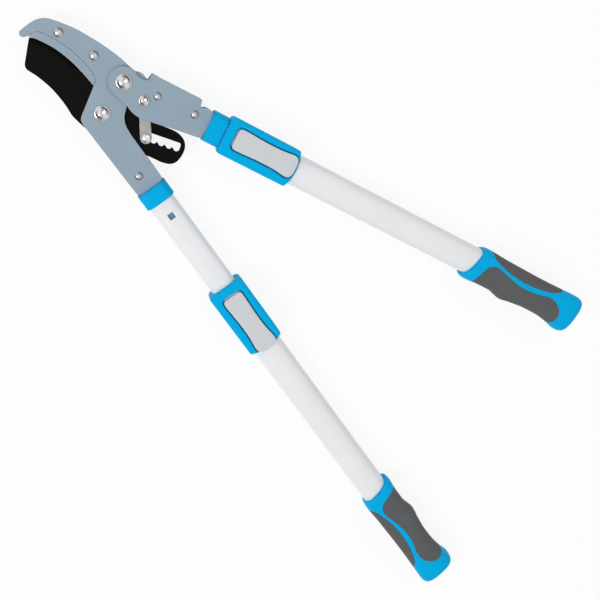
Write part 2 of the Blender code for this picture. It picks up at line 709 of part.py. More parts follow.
# ---------------------------------------------------------------- moving arm plates and tang
moving_plate_end = moving_collar_end - collar_length - fit_gap
moving_tongue_end = moving_collar_end + tongue_length
power_tongue = chord(hollow_half_w, hollow_half_h, hollow_corner, power_high) - fit_gap
neck = moving_plate_end
power_outline = (
    arc((0, 0), 14.9 * drawing_unit, 50, 255, 18)
    + smooth(drawn([(13.0, -19.5), (19.5, -22.8), (28.2, -24.3), (40.2, -23.0), (48.4, -21.7),
                    (63.0, -19.1)]), 2)
    + [Vector((neck - 0.0050, -0.0158)), Vector((neck - 0.0022, -0.0150)), Vector((neck, -0.0130)),
       Vector((neck, -power_tongue)), Vector((moving_tongue_end, -power_tongue)),
       Vector((moving_tongue_end, power_tongue)), Vector((neck, power_tongue)), Vector((neck, 0.0125)),
       Vector((neck - 0.0018, 0.0136)), Vector((neck - 0.0045, 0.0147)), Vector((neck - 0.0085, 0.0147)),
       Vector((neck - 0.0115, 0.0132))]
    + drawn([(78.0, 11.9), (77.4, 14.2), (76.3, 19.0), (75.2, 20.1), (32.0, 19.7), (30.0, 19.9),
             (23.0, 20.2), (21.8, 19.7)])
    + smooth(drawn([(20.3, 12.2), (16.6, 10.9), (13.0, 11.2)]), 2))
power_holes = [circle((0, 0), bolt_hole), circle(link_screw, link_hole)]
power_holes += [circle(p, arm_rivet_hole, 16) for p in moving_arm_rivets_at]
for side, low, high in (("front", power_low, power_high), ("rear", -power_high, -power_low)):
    extrude("power_plate_" + side, power_outline, low, high, plate_grey, power_holes, parent=moving_arm,
            chamfer=plate_chamfer, chamfer_sides=(1 if side == "front" else -1,))

tang_half_width = chord(hollow_half_w, hollow_half_h, hollow_corner, tang_half) - fit_gap
tang_start = moving_arm_rivets_at[0].x - 0.0060
tang_outline = rounded([(moving_tongue_end, -tang_half_width, 0), (moving_tongue_end, tang_half_width, 0),
                        (tang_start + 0.0150, tang_half_width, 0.006), (tang_start, 0.0105, 0.005),
                        (tang_start, -0.0030, 0.004), (tang_start + 0.0120, -tang_half_width, 0.006)])
extrude("power_tang", tang_outline, -tang_half, tang_half, plate_grey,
        [circle(p, arm_rivet_hole, 16) for p in moving_arm_rivets_at], parent=moving_arm)


# ---------------------------------------------------------------- telescopic arms
def section_x(name, half_w, half_h, corner, start, end, mat=None, hollow=None, parent=None, steps=5,
              chamfer=0.0):
    """A straight piece of round-cornered section along the arm."""
    holes = [] if hollow is None else [rounded_box(*hollow, steps)]
    return extrude(name, rounded_box(half_w, half_h, corner, steps), start, end, mat, holes, "X", parent,
                   chamfer=chamfer)


def lock_window(name, along, parent):
    half_l = lock_window_length / 2
    half_w = lock_window_width / 2
    return box(name, (along - half_l, -half_w, 0.004), (along + half_l, half_w, 0.03), parent=parent)


def lever_outline(start, end, grow=0.0):
    """The lever seen from above, waisted in the middle; it may be grown by a slit all round."""
    length = end - start
    head = lever_head_width / 2 + grow
    waist = lever_waist_width / 2 + grow
    tail = lever_tail_width / 2 + grow
    side = smooth([Vector((start + length * 0.070, head)), Vector((start + length * 0.26, head * 0.965)),
                   Vector((start + length * 0.47, waist)), Vector((start + length * 0.72, waist * 1.03)),
                   Vector((start + length * 0.90, tail))], 2)
    nose = [Vector((start - grow, head - 0.0042)), Vector((start - grow * 0.7 + 0.0010, head - 0.0014))]
    last = [Vector((end + grow * 0.7 - 0.0028, tail * 0.92)), Vector((end + grow - 0.0004, tail * 0.66)),
            Vector((end + grow + 0.0006, tail * 0.3))]
    upper = nose + side + last
    return upper + [Vector((p.x, -p.y)) for p in reversed(upper)]


def clamp(prefix, head_face, body):
    """Moulded clamp housing on the outer tube's end, its lever, pin and spring."""
    far = head_face + clamp_length
    sides_end = far - clamp_end_bulge
    hw = clamp_half_w
    plan = rounded([(head_face, -hw, clamp_corner), (sides_end, -hw, 0.003),
                    (far - 0.0012, -hw * 0.55, 0.012), (far, 0, 0.02), (far - 0.0012, hw * 0.55, 0.012),
                    (sides_end, hw, 0.003), (head_face, hw, clamp_corner)], 3)
    housing = extrude(prefix + "_clamp_housing", plan, floor_z, deck_z, shell_blue, parent=body,
                      chamfer=clamp_rounding, chamfer_sides=(1,))
    housing.modifiers["chamfer"].segments = 2
    skirt = hw + fit_gap
    belly = rounded([(skirt, floor_z, clamp_belly), (skirt, 0.03, 0), (-skirt, 0.03, 0),
                     (-skirt, floor_z, clamp_belly)], 6)
    combine(housing, extrude(prefix + "_clamp_belly", belly, head_face - 0.001, far + 0.01, axis="X",
                             parent=body), "INTERSECT")
    bore_gap = fit_gap
    combine(housing, section_x(prefix + "_clamp_bore", outer_half_w + bore_gap, outer_half_h + bore_gap,
                               outer_corner + bore_gap, head_face + clamp_lip, far + 0.01, parent=body))
    combine(housing, section_x(prefix + "_clamp_mouth", outer_hollow_half_w, outer_hollow_half_h,
                               inner_tube_corner + tube_play, head_face - 0.01,
                               head_face + clamp_lip + 0.001, parent=body))
    lever_end = head_face + lever_start + lever_length
    recess_low = outer_half_h - 0.002
    combine(housing, extrude(prefix + "_lever_recess",
                             lever_outline(head_face + lever_start, lever_end, lever_slit),
                             recess_low, deck_z + 0.01, parent=body))
    lever_top = deck_z + lever_rise
    pin_z = lever_top - lever_pin_drop
    pin_at = head_face + lever_pin_along
    pin_hole = lever_pin_diameter / 2 + fit_gap
    half_pin = lever_pin_length / 2
    combine(housing, rod(prefix + "_pin_seat", pin_hole, -half_pin - fit_gap, half_pin + fit_gap,
                         parent=body, where=(pin_at, 0, pin_z), sides=16, axis="Y"))
    rod(prefix + "_lever_pin", lever_pin_diameter / 2, -half_pin, half_pin, bright_nickel, body,
        (pin_at, 0, pin_z), 16, "Y")

    # lever, hung on its pin
    rocker = empty(prefix + "_lever_rock", (pin_at, 0, pin_z), body)
    start = lever_start - lever_pin_along
    end = start + lever_length
    top = lever_top - pin_z
    low = top - lever_thickness
    lever = extrude(prefix + "_lever", lever_outline(start, end), low - 0.001, top, lever_silver,
                    parent=rocker, chamfer=0.0011)
    lever.modifiers["chamfer"].segments = 2
    flank = [Vector((start - 0.005, top + 0.005)), Vector((start - 0.005, low + lever_relief)),
             Vector((-0.004, low)), Vector((0.004, low)), Vector((end + 0.005, low + lever_relief)),
             Vector((end + 0.005, top + 0.005))]
    combine(lever, extrude(prefix + "_lever_flank", flank, -0.03, 0.03, axis="Y", parent=rocker),
            "INTERSECT")
    tooth_at = first_window_along - clamp_gap - lever_pin_along
    tooth_low = inner_tube_half_h + tooth_clear - pin_z
    half_tooth = tooth_side / 2
    combine(lever, box(prefix + "_lever_tooth", (tooth_at - half_tooth, -half_tooth, tooth_low),
                       (tooth_at + half_tooth, half_tooth, top - 0.001), parent=rocker), "UNION")
    combine(lever, rod(prefix + "_lever_eye", pin_hole, -0.03, 0.03, parent=rocker, sides=16, axis="Y"))

    # leaf spring under the lever's tail, standing on the tube
    ground = outer_half_h + fit_gap
    foot = pin_at + 0.0080
    under = end + pin_at - 0.0075
    tail_under = low + pin_z + lever_relief * (under - pin_at - 0.004) / (end + 0.005 - 0.004)
    crest = tail_under - fit_gap - spring_strip
    line = [Vector((foot, ground)), Vector((foot + 0.0040, ground)), Vector((under - 0.003, crest - 0.0003)),
            Vector((under, crest)), Vector((under + 0.0025, crest - 0.0006))]
    extrude(prefix + "_lever_spring", line + offset_line(line, spring_strip)[::-1], -spring_width / 2,
            spring_width / 2, spring_steel, axis="Y", parent=body)
    return housing



def grip_rings(side, skin=0.0):
    """Rings of the grip from its slanted mouth to its butt; side is +1 with the fingers at -Y."""
    unit = drawing_unit
    base = outer_half_w
    high = -floor_z
    # along, outer swell and finger swell over the tube, height share, slant, saddle
    stations = [(0.0, 0.9, 2.6, 0.93, 0.26, 2.4), (3.0, 3.0, 4.6, 0.985, 0.26, 2.4),
                (8.0, 3.8, 5.4, 1.0, 0.21, 1.7), (17.0, 3.5, 4.4, 0.99, 0.14, 0.8),
                (35.0, 2.6, 4.3, 0.97, 0.0, 0.0), (46.0, 2.3, 6.5, 0.965, 0.0, 0.0),
                (53.5, 2.1, 8.1, 0.965, 0.0, 0.0), (63.0, 1.9, 6.7, 0.955, 0.0, 0.0),
                (88.0, 1.5, 4.7, 0.93, 0.0, 0.0), (110.0, 1.6, 5.3, 0.945, 0.0, 0.0),
                (127.0, 2.1, 7.8, 0.985, 0.03, 0.0), (140.0, 2.4, 10.8, 1.0, 0.06, 0.0),
                (149.0, 1.2, 8.8, 0.88, 0.10, 0.0), (153.4, -5.0, 1.5, 0.50, 0.12, 0.0)]
    stretch = grip_length / (154.0 * unit)
    rings = []
    for along, outer, finger, tall, slant, saddle in stations:
        wide_out = base + outer * unit - skin
        wide_in = base + finger * unit - skin
        centre = (wide_out - wide_in) / 2
        half = (wide_out + wide_in) / 2
        ring = []
        for k in range(grip_ring_points):
            a = 2 * math.pi * (k + 0.5) / grip_ring_points
            c = math.cos(a)
            s = math.sin(a)
            across = math.copysign(abs(c) ** (2 / grip_roundness), c)
            up = math.copysign(abs(s) ** (2 / grip_roundness), s)
            y = centre + half * across
            x = along * unit * stretch + slant * y - saddle * unit * across * across
            ring.append(Vector((x, side * y, (high * tall - skin) * up)))
        rings.append(ring)
    return rings


# edges of the two rubber inlays, seen from above, along from the mouth and across
back_inlay = [(12.4, 27.0), (13.6, 20.8), (18.4, 14.6), (31.0, 10.2), (45.5, 6.9), (65.5, 5.5),
              (84.5, 6.4), (102.5, 9.6), (114.0, 14.0), (122.5, 20.5), (125.0, 27.0)]
finger_inlay = [(6.2, -32.0), (7.0, -20.0), (9.6, -8.0), (13.6, 1.2), (20.2, 5.9), (27.5, 6.6),
                (39.3, 3.9), (56.0, 0.2), (72.2, -0.9), (88.5, 0.8), (102.5, 3.6), (114.4, 1.8),
                (122.4, -4.2), (125.8, -11.5), (125.6, -18.5), (122.4, -25.0), (120.0, -32.0)]


def inlay_plan(points, side, grow):
    """Closed plan of an inlay, run out past the grip's side, grown by the gap round it."""
    stretch = grip_length / (154.0 * drawing_unit)
    line = smooth([Vector((x * drawing_unit * stretch, y * drawing_unit)) for x, y in points], 2)
    line = offset_line(line, grow)
    return [Vector((p.x, side * p.y)) for p in line]


def grip(prefix, mouth, side, body):
    """Hard shell with two rubber inlays, one along the back and one under the fingers."""
    where = (mouth, 0, 0)
    shell = loft(prefix + "_grip_shell", grip_rings(side), shell_blue, body, where)
    core = loft(prefix + "_grip_core", grip_rings(side, inlay_depth), None, body, where)
    slim_core = loft(prefix + "_grip_bed", grip_rings(side, inlay_depth - fit_gap), None, body, where)
    whole = loft(prefix + "_grip_form", grip_rings(side), None, body, where)
    for label, points, sign in (("back", back_inlay, -1), ("finger", finger_inlay, 1)):
        pocket_form = extrude(prefix + "_" + label + "_pocket", inlay_plan(points, side, sign * fit_gap),
                              -0.03, 0.03, parent=body, where=where)
        combine(pocket_form, core)
        combine(shell, pocket_form)
        pad = extrude(prefix + "_grip_" + label + "_inlay", inlay_plan(points, side, 0.0),
                      -0.03, 0.03, rubber_grey, parent=body, where=where)
        combine(pad, whole, "INTERSECT")
        combine(pad, slim_core)
    combine(shell, section_x(prefix + "_grip_bore", outer_half_w + fit_gap, outer_half_h + fit_gap,
                             outer_corner + fit_gap, mouth - 0.03, mouth + grip_on_tube + fit_gap,
                             parent=body))


def arm(prefix, frame, collar_end, stage, side, tongue_half_w, tongue_half_h):
    """Collar, inner tube and the sliding outer assembly of one arm."""
    tube_start = collar_end - collar_length + collar_end_wall + fit_gap
    tube_end = tube_start + inner_tube_length
    collar_start = collar_end - collar_length
    collar = section_x(prefix + "_collar", inner_tube_half_w + fit_gap + collar_wall,
                       inner_tube_half_h + fit_gap + collar_wall,
                       inner_tube_corner + fit_gap + collar_wall, collar_start, collar_end, shell_blue,
                       None, frame, chamfer=0.0011)
    combine(collar, section_x(prefix + "_collar_socket", inner_tube_half_w + fit_gap,
                              inner_tube_half_h + fit_gap, inner_tube_corner + fit_gap,
                              collar_start + collar_end_wall, collar_end + 0.01, parent=frame))
    slot = (tongue_half_w + fit_gap, tongue_half_h + fit_gap)
    combine(collar, box(prefix + "_collar_slot", (collar_start - 0.01, -slot[0], -slot[1]),
                        (collar_start + 0.01, slot[0], slot[1]), parent=frame))
    inner = section_x(prefix + "_inner_tube", inner_tube_half_w, inner_tube_half_h, inner_tube_corner,
                      tube_start, tube_end, tube_white, (hollow_half_w, hollow_half_h, hollow_corner),
                      frame)
    for k in range(lock_positions):
        combine(inner, lock_window("%s_window_%d" % (prefix, k),
                                   collar_end + first_window_along + k * lock_pitch, frame))
    plug_start = collar_end + tongue_length + fit_gap
    section_x(prefix + "_tube_plug", hollow_half_w - fit_gap, hollow_half_h - plug_headroom,
              hollow_corner - fit_gap, plug_start, plug_start + plug_length, plug_blue, None, frame)
    section_x(prefix + "_tube_end_bush", hollow_half_w - fit_gap, hollow_half_h - fit_gap,
              hollow_corner - fit_gap, tube_end - end_bush_length, tube_end, plug_blue, None, frame)

    slide = empty(prefix + "_slide", (collar_end + stage * lock_pitch, 0, 0), frame)
    head_face = clamp_gap
    outer = section_x(prefix + "_outer_tube", outer_half_w, outer_half_h, outer_corner,
                      outer_tube_start, outer_tube_end, tube_white,
                      (outer_hollow_half_w, outer_hollow_half_h, inner_tube_corner + tube_play), slide)
    half_window = tooth_side / 2 + 0.0012
    combine(outer, box(prefix + "_tooth_window",
                       (first_window_along - half_window, -half_window, 0.004),
                       (first_window_along + half_window, half_window, 0.03), parent=slide))
    clamp(prefix, head_face, slide)
    grip(prefix, grip_start, side, slide)


anvil_core_half_width = hollow_half_w - fit_gap
arm("anvil_arm", anvil_arm, anvil_collar_end, anvil_arm_stage, -1, anvil_core_half_width, head_high)
arm("power_arm", moving_arm, moving_collar_end, moving_arm_stage, 1, tang_half_width, power_high)

# ---------------------------------------------------------------- set the tool down at the origin
bpy.context.view_layer.update()
graph = bpy.context.evaluated_depsgraph_get()
low = Vector((1e9, 1e9, 1e9))
high = Vector((-1e9, -1e9, -1e9))
for obj in parts.objects:
    if obj.type != "MESH":
        continue
    seen = obj.evaluated_get(graph)
    mesh = seen.to_mesh()
    for v in mesh.vertices:
        p = seen.matrix_world @ v.co
        low = Vector(map(min, low, p))
        high = Vector(map(max, high, p))
    seen.to_mesh_clear()
tool.location = (-(low.x + high.x) / 2, -(low.y + high.y) / 2, -low.z)
bpy.context.view_layer.update()
print("overall size", [round(v, 4) for v in (high - low)])
for joint in parts.objects:
    if joint.type == "EMPTY":
        print("frame", joint.name, [round(v, 5) for v in joint.matrix_world.translation],
              round(math.degrees(joint.matrix_world.to_euler().z), 2))
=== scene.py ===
# %% [markdown]
# # A telescopic ratchet lopper
# This lesson dresses a long handled pruning tool that is already packed as a rigid frame:
# two steel side plates with an anvil, a coated blade with a ratchet tail, a short link,
# and two arms that slide out and lock.  The frame gives the places, the joints and the
# plain solids.  What is left to do here is the surface: rounded edges, domed bolt heads,
# soft grips, paint that looks like paint, a lamp or two and a camera.

# %% Load the frame
import math

import bmesh
import bpy
from mathutils import Matrix, Vector
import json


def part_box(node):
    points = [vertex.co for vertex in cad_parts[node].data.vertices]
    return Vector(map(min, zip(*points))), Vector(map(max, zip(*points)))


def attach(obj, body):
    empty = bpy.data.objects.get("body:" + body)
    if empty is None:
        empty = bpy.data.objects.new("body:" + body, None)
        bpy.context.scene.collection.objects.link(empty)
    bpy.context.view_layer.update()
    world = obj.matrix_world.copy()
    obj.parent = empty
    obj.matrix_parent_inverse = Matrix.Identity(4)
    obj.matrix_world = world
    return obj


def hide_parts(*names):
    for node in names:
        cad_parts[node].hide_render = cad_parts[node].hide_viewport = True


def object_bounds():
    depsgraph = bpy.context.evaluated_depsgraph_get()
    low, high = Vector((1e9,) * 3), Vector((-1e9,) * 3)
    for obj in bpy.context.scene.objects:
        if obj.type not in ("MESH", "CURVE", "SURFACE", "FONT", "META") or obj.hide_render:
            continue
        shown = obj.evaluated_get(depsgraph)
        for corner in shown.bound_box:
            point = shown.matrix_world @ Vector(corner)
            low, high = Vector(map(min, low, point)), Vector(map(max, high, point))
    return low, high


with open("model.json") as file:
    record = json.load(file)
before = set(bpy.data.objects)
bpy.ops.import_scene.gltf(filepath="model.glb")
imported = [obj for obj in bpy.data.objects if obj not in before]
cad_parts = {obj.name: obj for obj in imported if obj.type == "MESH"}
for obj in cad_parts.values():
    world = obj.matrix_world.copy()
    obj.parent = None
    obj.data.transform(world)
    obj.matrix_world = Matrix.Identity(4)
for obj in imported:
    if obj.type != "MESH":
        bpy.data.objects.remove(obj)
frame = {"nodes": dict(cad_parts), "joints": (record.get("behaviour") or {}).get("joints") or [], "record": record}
cad_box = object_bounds()
scene = bpy.context.scene
mm = 0.001
cad_size = [round(v, 4) for v in cad_box[1] - cad_box[0]]
print("CAD nodes:", len(frame["nodes"]), "box:", cad_size)

# %% [markdown]
# ## Where things are
# The tool lies flat with its jaws shut.  Its joints already say where every pivot is and
# which way each arm slides, so there is no need to measure the picture again.  Each arm
# gets a frame of its own: x along the arm from the point where its clamp would touch the
# collar, y across it, z up.  The same moulding can then be built once and set on both arms.
# The two locks differ only in how far the lever, and the opening round it, reach out at
# the tail and lie to one side.

# %% Read the pivots and make a frame for each arm
joints = {j["name"]: j for j in frame["joints"]}
main_pivot = Vector(joints["power_arm_pivot"]["pos_m"])
blade_pivot = Vector(joints["blade_pivot"]["pos_m"])
lever_pin_along = 45.0 * mm          # from the arm's zero to the lever's pin
lock_pitch = 112.0 * mm              # between two lock positions


def arm_frame(prefix, shift=0.0):
    """Matrix of an arm: x along it, y across it, z up; shift moves it along."""
    along = Vector(joints[prefix + "_slide"]["axis"])
    pin = Vector(joints[prefix + "_lever_rock"]["pos_m"])
    zero = pin + along * (shift - lever_pin_along)
    across = Vector((-along.y, along.x, 0))
    place = Matrix((along, across, (0, 0, 1))).transposed().to_4x4()
    place.translation = (zero.x, zero.y, main_pivot.z)
    return place


# opening and lever: how far each reaches out at the tail, and how far it lies aside
arms = {
    "anvil_arm": {"body": "head", "mirrored_grip": True,
                  "fixed": arm_frame("anvil_arm", -lock_pitch),
                  "sliding": arm_frame("anvil_arm"),
                  "opening": (4.0 * mm, 0.5 * mm), "lever": (3.2 * mm, 0.5 * mm)},
    "power_arm": {"body": "power_arm", "mirrored_grip": False,
                  "fixed": arm_frame("power_arm"),
                  "sliding": arm_frame("power_arm"),
                  "opening": (0.0, 1.4 * mm), "lever": (0.8 * mm, 1.5 * mm)},
}
for prefix, arm in arms.items():
    print(prefix, "zero at", [round(v, 4) for v in arm["sliding"].translation])

# %% [markdown]
# ## Finishes
# A finish is more than a colour.  Powder paint has a fine orange-peel skin, moulded
# plastic is even but takes a faint sheen, rubber scatters nearly all light, and plated
# steel mirrors the room.  All of them could be photographs wrapped round the model, but
# a pattern computed from the place on the object needs no picture and has no seams.
# So every finish below starts from object coordinates in metres: a noise scale of 60
# gives clouds about 17 mm across, and a scale of 2500 gives grain of 0.4 mm.

# %% Two helpers that add shader nodes
def set_inputs(tree, node, inputs):
    """Gives each input a plain value, or a link where the value is an output."""
    for key, value in inputs.items():
        if isinstance(value, bpy.types.NodeSocket):
            tree.links.new(value, node.inputs[key])
        else:
            node.inputs[key].default_value = value


def add_node(tree, kind, inputs=None, operation=None):
    """A new shader node with its inputs set."""
    node = tree.nodes.new("ShaderNode" + kind)
    if operation:
        node.operation = operation
    set_inputs(tree, node, inputs or {})
    return node


# %% One helper wires the nodes that all finishes share
def surface(name, colour, clouds, cloud_scale, roughness, grain_scale, grain_height,
            metallic=0.0, stretch=(1, 1, 1), turn=0.0, specular=0.5, scratches=0.0):
    """A Principled surface with clouded colour, uneven gloss and a fine grain."""
    made = bpy.data.materials.new(name)
    made.use_nodes = True
    tree = made.node_tree
    place = add_node(tree, "TexCoord").outputs["Object"]
    turned = add_node(tree, "Mapping", {"Vector": place, "Rotation": (0, 0, turn),
                                        "Scale": stretch})
    broad = add_node(tree, "TexNoise", {"Vector": place, "Scale": cloud_scale,
                                        "Detail": 3.0})
    tint = add_node(tree, "ValToRGB", {"Fac": broad.outputs["Fac"]})
    stops = tint.color_ramp.elements
    for stop, position, share in zip(stops, (0.3, 0.7), (1 - clouds, 1 + clouds)):
        stop.position = position
        stop.color = (*[min(c * share, 1) for c in colour], 1)
    gloss = add_node(tree, "MapRange", {"Value": broad.outputs["Fac"],
                                        "To Min": roughness[0],
                                        "To Max": roughness[1]}).outputs["Result"]
    fine = add_node(tree, "TexNoise", {"Vector": turned.outputs["Vector"],
                                       "Scale": grain_scale, "Detail": 2.0})
    bump = add_node(tree, "Bump", {"Height": fine.outputs["Fac"], "Strength": 0.6,
                                   "Distance": grain_height})
    if scratches > 0:
        lines = add_node(tree, "Mapping", {"Vector": place,
                                           "Rotation": (0.2, 0.1, turn + 0.35),
                                           "Scale": (25, 1400, 900)})
        marks = add_node(tree, "TexNoise", {"Vector": lines.outputs["Vector"],
                                            "Scale": 1.0, "Detail": 4.0})
        few = add_node(tree, "MapRange", {"Value": marks.outputs["Fac"],
                                          "From Min": 0.66, "From Max": 0.76,
                                          "To Max": scratches})
        gloss = add_node(tree, "Math", {0: gloss, 1: few.outputs["Result"]},
                         "ADD").outputs["Value"]
    set_inputs(tree, tree.nodes["Principled BSDF"], {
        "Base Color": tint.outputs["Color"], "Metallic": metallic, "Roughness": gloss,
        "Specular IOR Level": specular, "Normal": bump.outputs["Normal"]})
    return made


print("finish helper ready")

# %% [markdown]
# The colours are linear values.  The plates are a quiet grey-blue, the plastic a clear
# cyan blue, the tubes a white powder coat a shade under paper, and the rubber a warm
# charcoal.  Scratches only change the gloss, as fine handling marks do on new paint.

# %% Mix the finishes
plate_paint = surface("plate_paint", (0.272, 0.350, 0.422), 0.025, 40, (0.40, 0.50), 2600,
                      0.00003, metallic=0.15, specular=0.35, scratches=0.14)
blade_coating = surface("blade_coating", (0.0030, 0.0030, 0.0024), 0.12, 55, (0.42, 0.52),
                        3000, 0.00002, specular=0.05, scratches=0.2)
tube_paint = surface("tube_paint", (0.81, 0.82, 0.835), 0.012, 25, (0.30, 0.38), 1900,
                     0.00002, specular=0.35, scratches=0.10)
blue_plastic = surface("blue_plastic", (0.0, 0.405, 0.76), 0.02, 45, (0.38, 0.48), 2400,
                       0.00003, specular=0.05)
lever_plastic = surface("lever_plastic", (0.60, 0.62, 0.645), 0.015, 50, (0.38, 0.48), 2800,
                        0.00003, specular=0.35)
grip_rubber = surface("grip_rubber", (0.088, 0.092, 0.096), 0.05, 60, (0.68, 0.82), 1500,
                      0.00008)
nickel = surface("bright_nickel", (0.73, 0.71, 0.70), 0.03, 180, (0.15, 0.26), 1200,
                 0.000008, metallic=1.0, scratches=0.12)
rivet_steel = surface("satin_rivet_steel", (0.50, 0.51, 0.53), 0.03, 180, (0.30, 0.40), 1200,
                      0.000008, metallic=1.0, scratches=0.08)
link_steel = surface("link_steel", (0.36, 0.35, 0.33), 0.08, 90, (0.32, 0.46), 500,
                     0.00002, metallic=1.0, stretch=(9, 1, 1), turn=-math.radians(60))
spring_steel = surface("spring_steel", (0.45, 0.45, 0.45), 0.05, 90, (0.24, 0.36), 900,
                       0.00001, metallic=1.0)
# painted shade: the lever pins are coloured near black because the slit they lie in is in shadow; lit steel there
# would show as bright specks
pin_painted_shade_finish = surface("lever_pin_painted_shade", (0.09, 0.09, 0.10), 0.04, 90, (0.34, 0.46), 900,
                    0.00001, metallic=1.0)
plug_plastic = surface("plug_plastic", (0.10, 0.24, 0.36), 0.04, 90, (0.4, 0.5), 2400,
                       0.00003)
by_slot = {"plate_paint": plate_paint, "blade_coating": blade_coating,
           "tube_paint": tube_paint, "blue_plastic": blue_plastic,
           "lever_plastic": lever_plastic, "grip_rubber": grip_rubber, "fasteners": nickel,
           "link_steel": link_steel, "spring_steel": spring_steel,
           "plug_plastic": plug_plastic}
slots = {part["node"]: part["material_slot"] for part in frame["record"]["subparts"]}
for name, node in frame["nodes"].items():
    node.data.materials.clear()
    node.data.materials.append(by_slot[slots[name]])
print("finishes:", len(by_slot), "nodes painted:", len(frame["nodes"]))

# %% [markdown]
# ## Tools for making pieces
# Most pieces of this tool are one cross-section carried along a line: tubes, collars, the
# clamp, the grip.  A skin modifier or a curve bevel could do that, but neither allows the
# section to change freely.  Here a circle of edges is extruded again and again, and after
# every extrusion the new edge loop is moved to the next section.  Pockets and bores are
# cut with exact booleans, which keep the cut edges crisp.

# %% Carry a ring of points through a row of sections
def loft(rings, ring_closed=False):
    """A skin through rings of equal count; capped at its ends, or closed on itself."""
    bm = bmesh.new()
    verts = bmesh.ops.create_circle(bm, segments=len(rings[0]), radius=0.01)["verts"]
    for v, p in zip(verts, rings[0]):
        v.co = p
    edges = list(bm.edges)
    first = list(edges)
    order = {v: k for k, v in enumerate(verts)}
    for ring in rings[1:]:
        grown = bmesh.ops.extrude_edge_only(bm, edges=edges)["geom"]
        fresh = [g for g in grown if isinstance(g, bmesh.types.BMVert)]
        follow = {}
        for v in fresh:
            for e in v.link_edges:
                if e.other_vert(v) in order:
                    follow[v] = order[e.other_vert(v)]
        for v, k in follow.items():
            v.co = ring[k]
        edges = [g for g in grown if isinstance(g, bmesh.types.BMEdge)
                 and g.verts[0] in follow and g.verts[1] in follow]
        order = follow
    if ring_closed:
        bmesh.ops.bridge_loops(bm, edges=first + edges)
    else:
        bmesh.ops.edgeloop_fill(bm, edges=first)
        bmesh.ops.edgeloop_fill(bm, edges=edges)
    bmesh.ops.recalc_face_normals(bm, faces=bm.faces[:])
    return bm


# %% Plain shapes, most of them for cutting
def block(start, end):
    """A box between two corners."""
    bm = bmesh.new()
    bmesh.ops.create_cube(bm, size=1.0)
    for v in bm.verts:
        v.co = Vector([(a + b) / 2 + c * (b - a) for a, b, c in zip(start, end, v.co)])
    return bm


def round_bar(radius, length, segments, place):
    """A straight round bar; its middle lies at the place."""
    bm = bmesh.new()
    bmesh.ops.create_cone(bm, cap_ends=True, segments=segments, radius1=radius,
                          radius2=radius, depth=length, matrix=place)
    return bm


def at_height(plan, z):
    """The points of a plan, all at one height."""
    return [Vector((p.x, p.y, z)) for p in plan]


def prism(plan, low, high):
    """A straight-sided piece between two heights."""
    return loft([at_height(plan, low), at_height(plan, high)])


# %% Make a solid, cut it and fit it on the tool
def solid(name, bm):
    """A bmesh as an object that can be cut."""
    mesh = bpy.data.meshes.new(name)
    bm.to_mesh(mesh)
    bm.free()
    made = bpy.data.objects.new(name, mesh)
    scene.collection.objects.link(made)
    return made


def cut(body, tool, operation="DIFFERENCE"):
    """Applies an exact boolean at once and removes the tool."""
    step = body.modifiers.new("cut", "BOOLEAN")
    step.operation = operation
    step.solver = "EXACT"
    step.object = tool
    graph = bpy.context.evaluated_depsgraph_get()
    shaped = bpy.data.meshes.new_from_object(body.evaluated_get(graph))
    body.modifiers.remove(step)
    body.data = shaped
    bpy.data.objects.remove(tool)


def fit(made, finish, body, nodes, place=None, smooth_below=34, mirrored=False):
    """Sets a solid on the tool: place, shading, paint, body and the node it stands for."""
    mesh = made.data
    if mirrored:
        mesh.transform(Matrix.Diagonal((1, -1, 1, 1)))
        mesh.flip_normals()
    if place is not None:
        mesh.transform(place)
    mesh.shade_smooth()
    mesh.set_sharp_from_angle(angle=math.radians(smooth_below))
    mesh.materials.clear()
    mesh.materials.append(finish)
    even = made.modifiers.new("even_shading", "WEIGHTED_NORMAL")
    even.keep_sharp = True
    even.weight = 60
    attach(made, body)
    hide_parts(*nodes)
    print(made.name, len(mesh.polygons), "faces")


# %% [markdown]
# ## Sections
# The tubes are flattened, so that neither can turn in the other.  Outside they are full
# ovals, between an ellipse and a box, and inside they are rounded rectangles.  A section
# is a list of points in the plane across the arm.  Shrinking it keeps its count, so the
# ends of a piece can be rounded by lofting a few smaller sections, and spreading the
# points at even steps lets an oval be joined to a rounded rectangle.

# %% Rounded and oval sections
def rounded_section(half_w, half_h, corner, steps=8):
    """Points of a rounded rectangle across the arm."""
    points = []
    for sy, sz, start in ((1, 1, 0), (-1, 1, 90), (-1, -1, 180), (1, -1, 270)):
        for k in range(steps + 1):
            a = math.radians(start + 90 * k / steps)
            points.append(Vector((0, sy * (half_w - corner) + corner * math.cos(a),
                                  sz * (half_h - corner) + corner * math.sin(a))))
    return points


def even_ring(ring, count=72):
    """Points at even steps round an outline, from the middle of its last edge on."""
    line = [(ring[0] + ring[-1]) / 2] + list(ring)
    lengths = [(b - a).length for a, b in zip(line, line[1:] + line[:1])]
    step = sum(lengths) / count
    out, done, i = [], 0.0, 0
    for k in range(count):
        while i < len(line) - 1 and done + lengths[i] < k * step:
            done += lengths[i]
            i += 1
        share = (k * step - done) / lengths[i]
        out.append(line[i].lerp(line[(i + 1) % len(line)], share))
    return out


def squared(share, fullness):
    """A sine or cosine pushed outwards, which squares a circle."""
    return math.copysign(abs(share) ** (2 / fullness), share)


def oval_section(half_w, half_h, fullness):
    """Points of an oval across the arm; a higher fullness fills its corners more."""
    turns = [math.radians((k + 0.5) / 2) for k in range(720)]
    return even_ring([Vector((0, half_w * squared(math.cos(a), fullness),
                              half_h * squared(math.sin(a), fullness))) for a in turns])


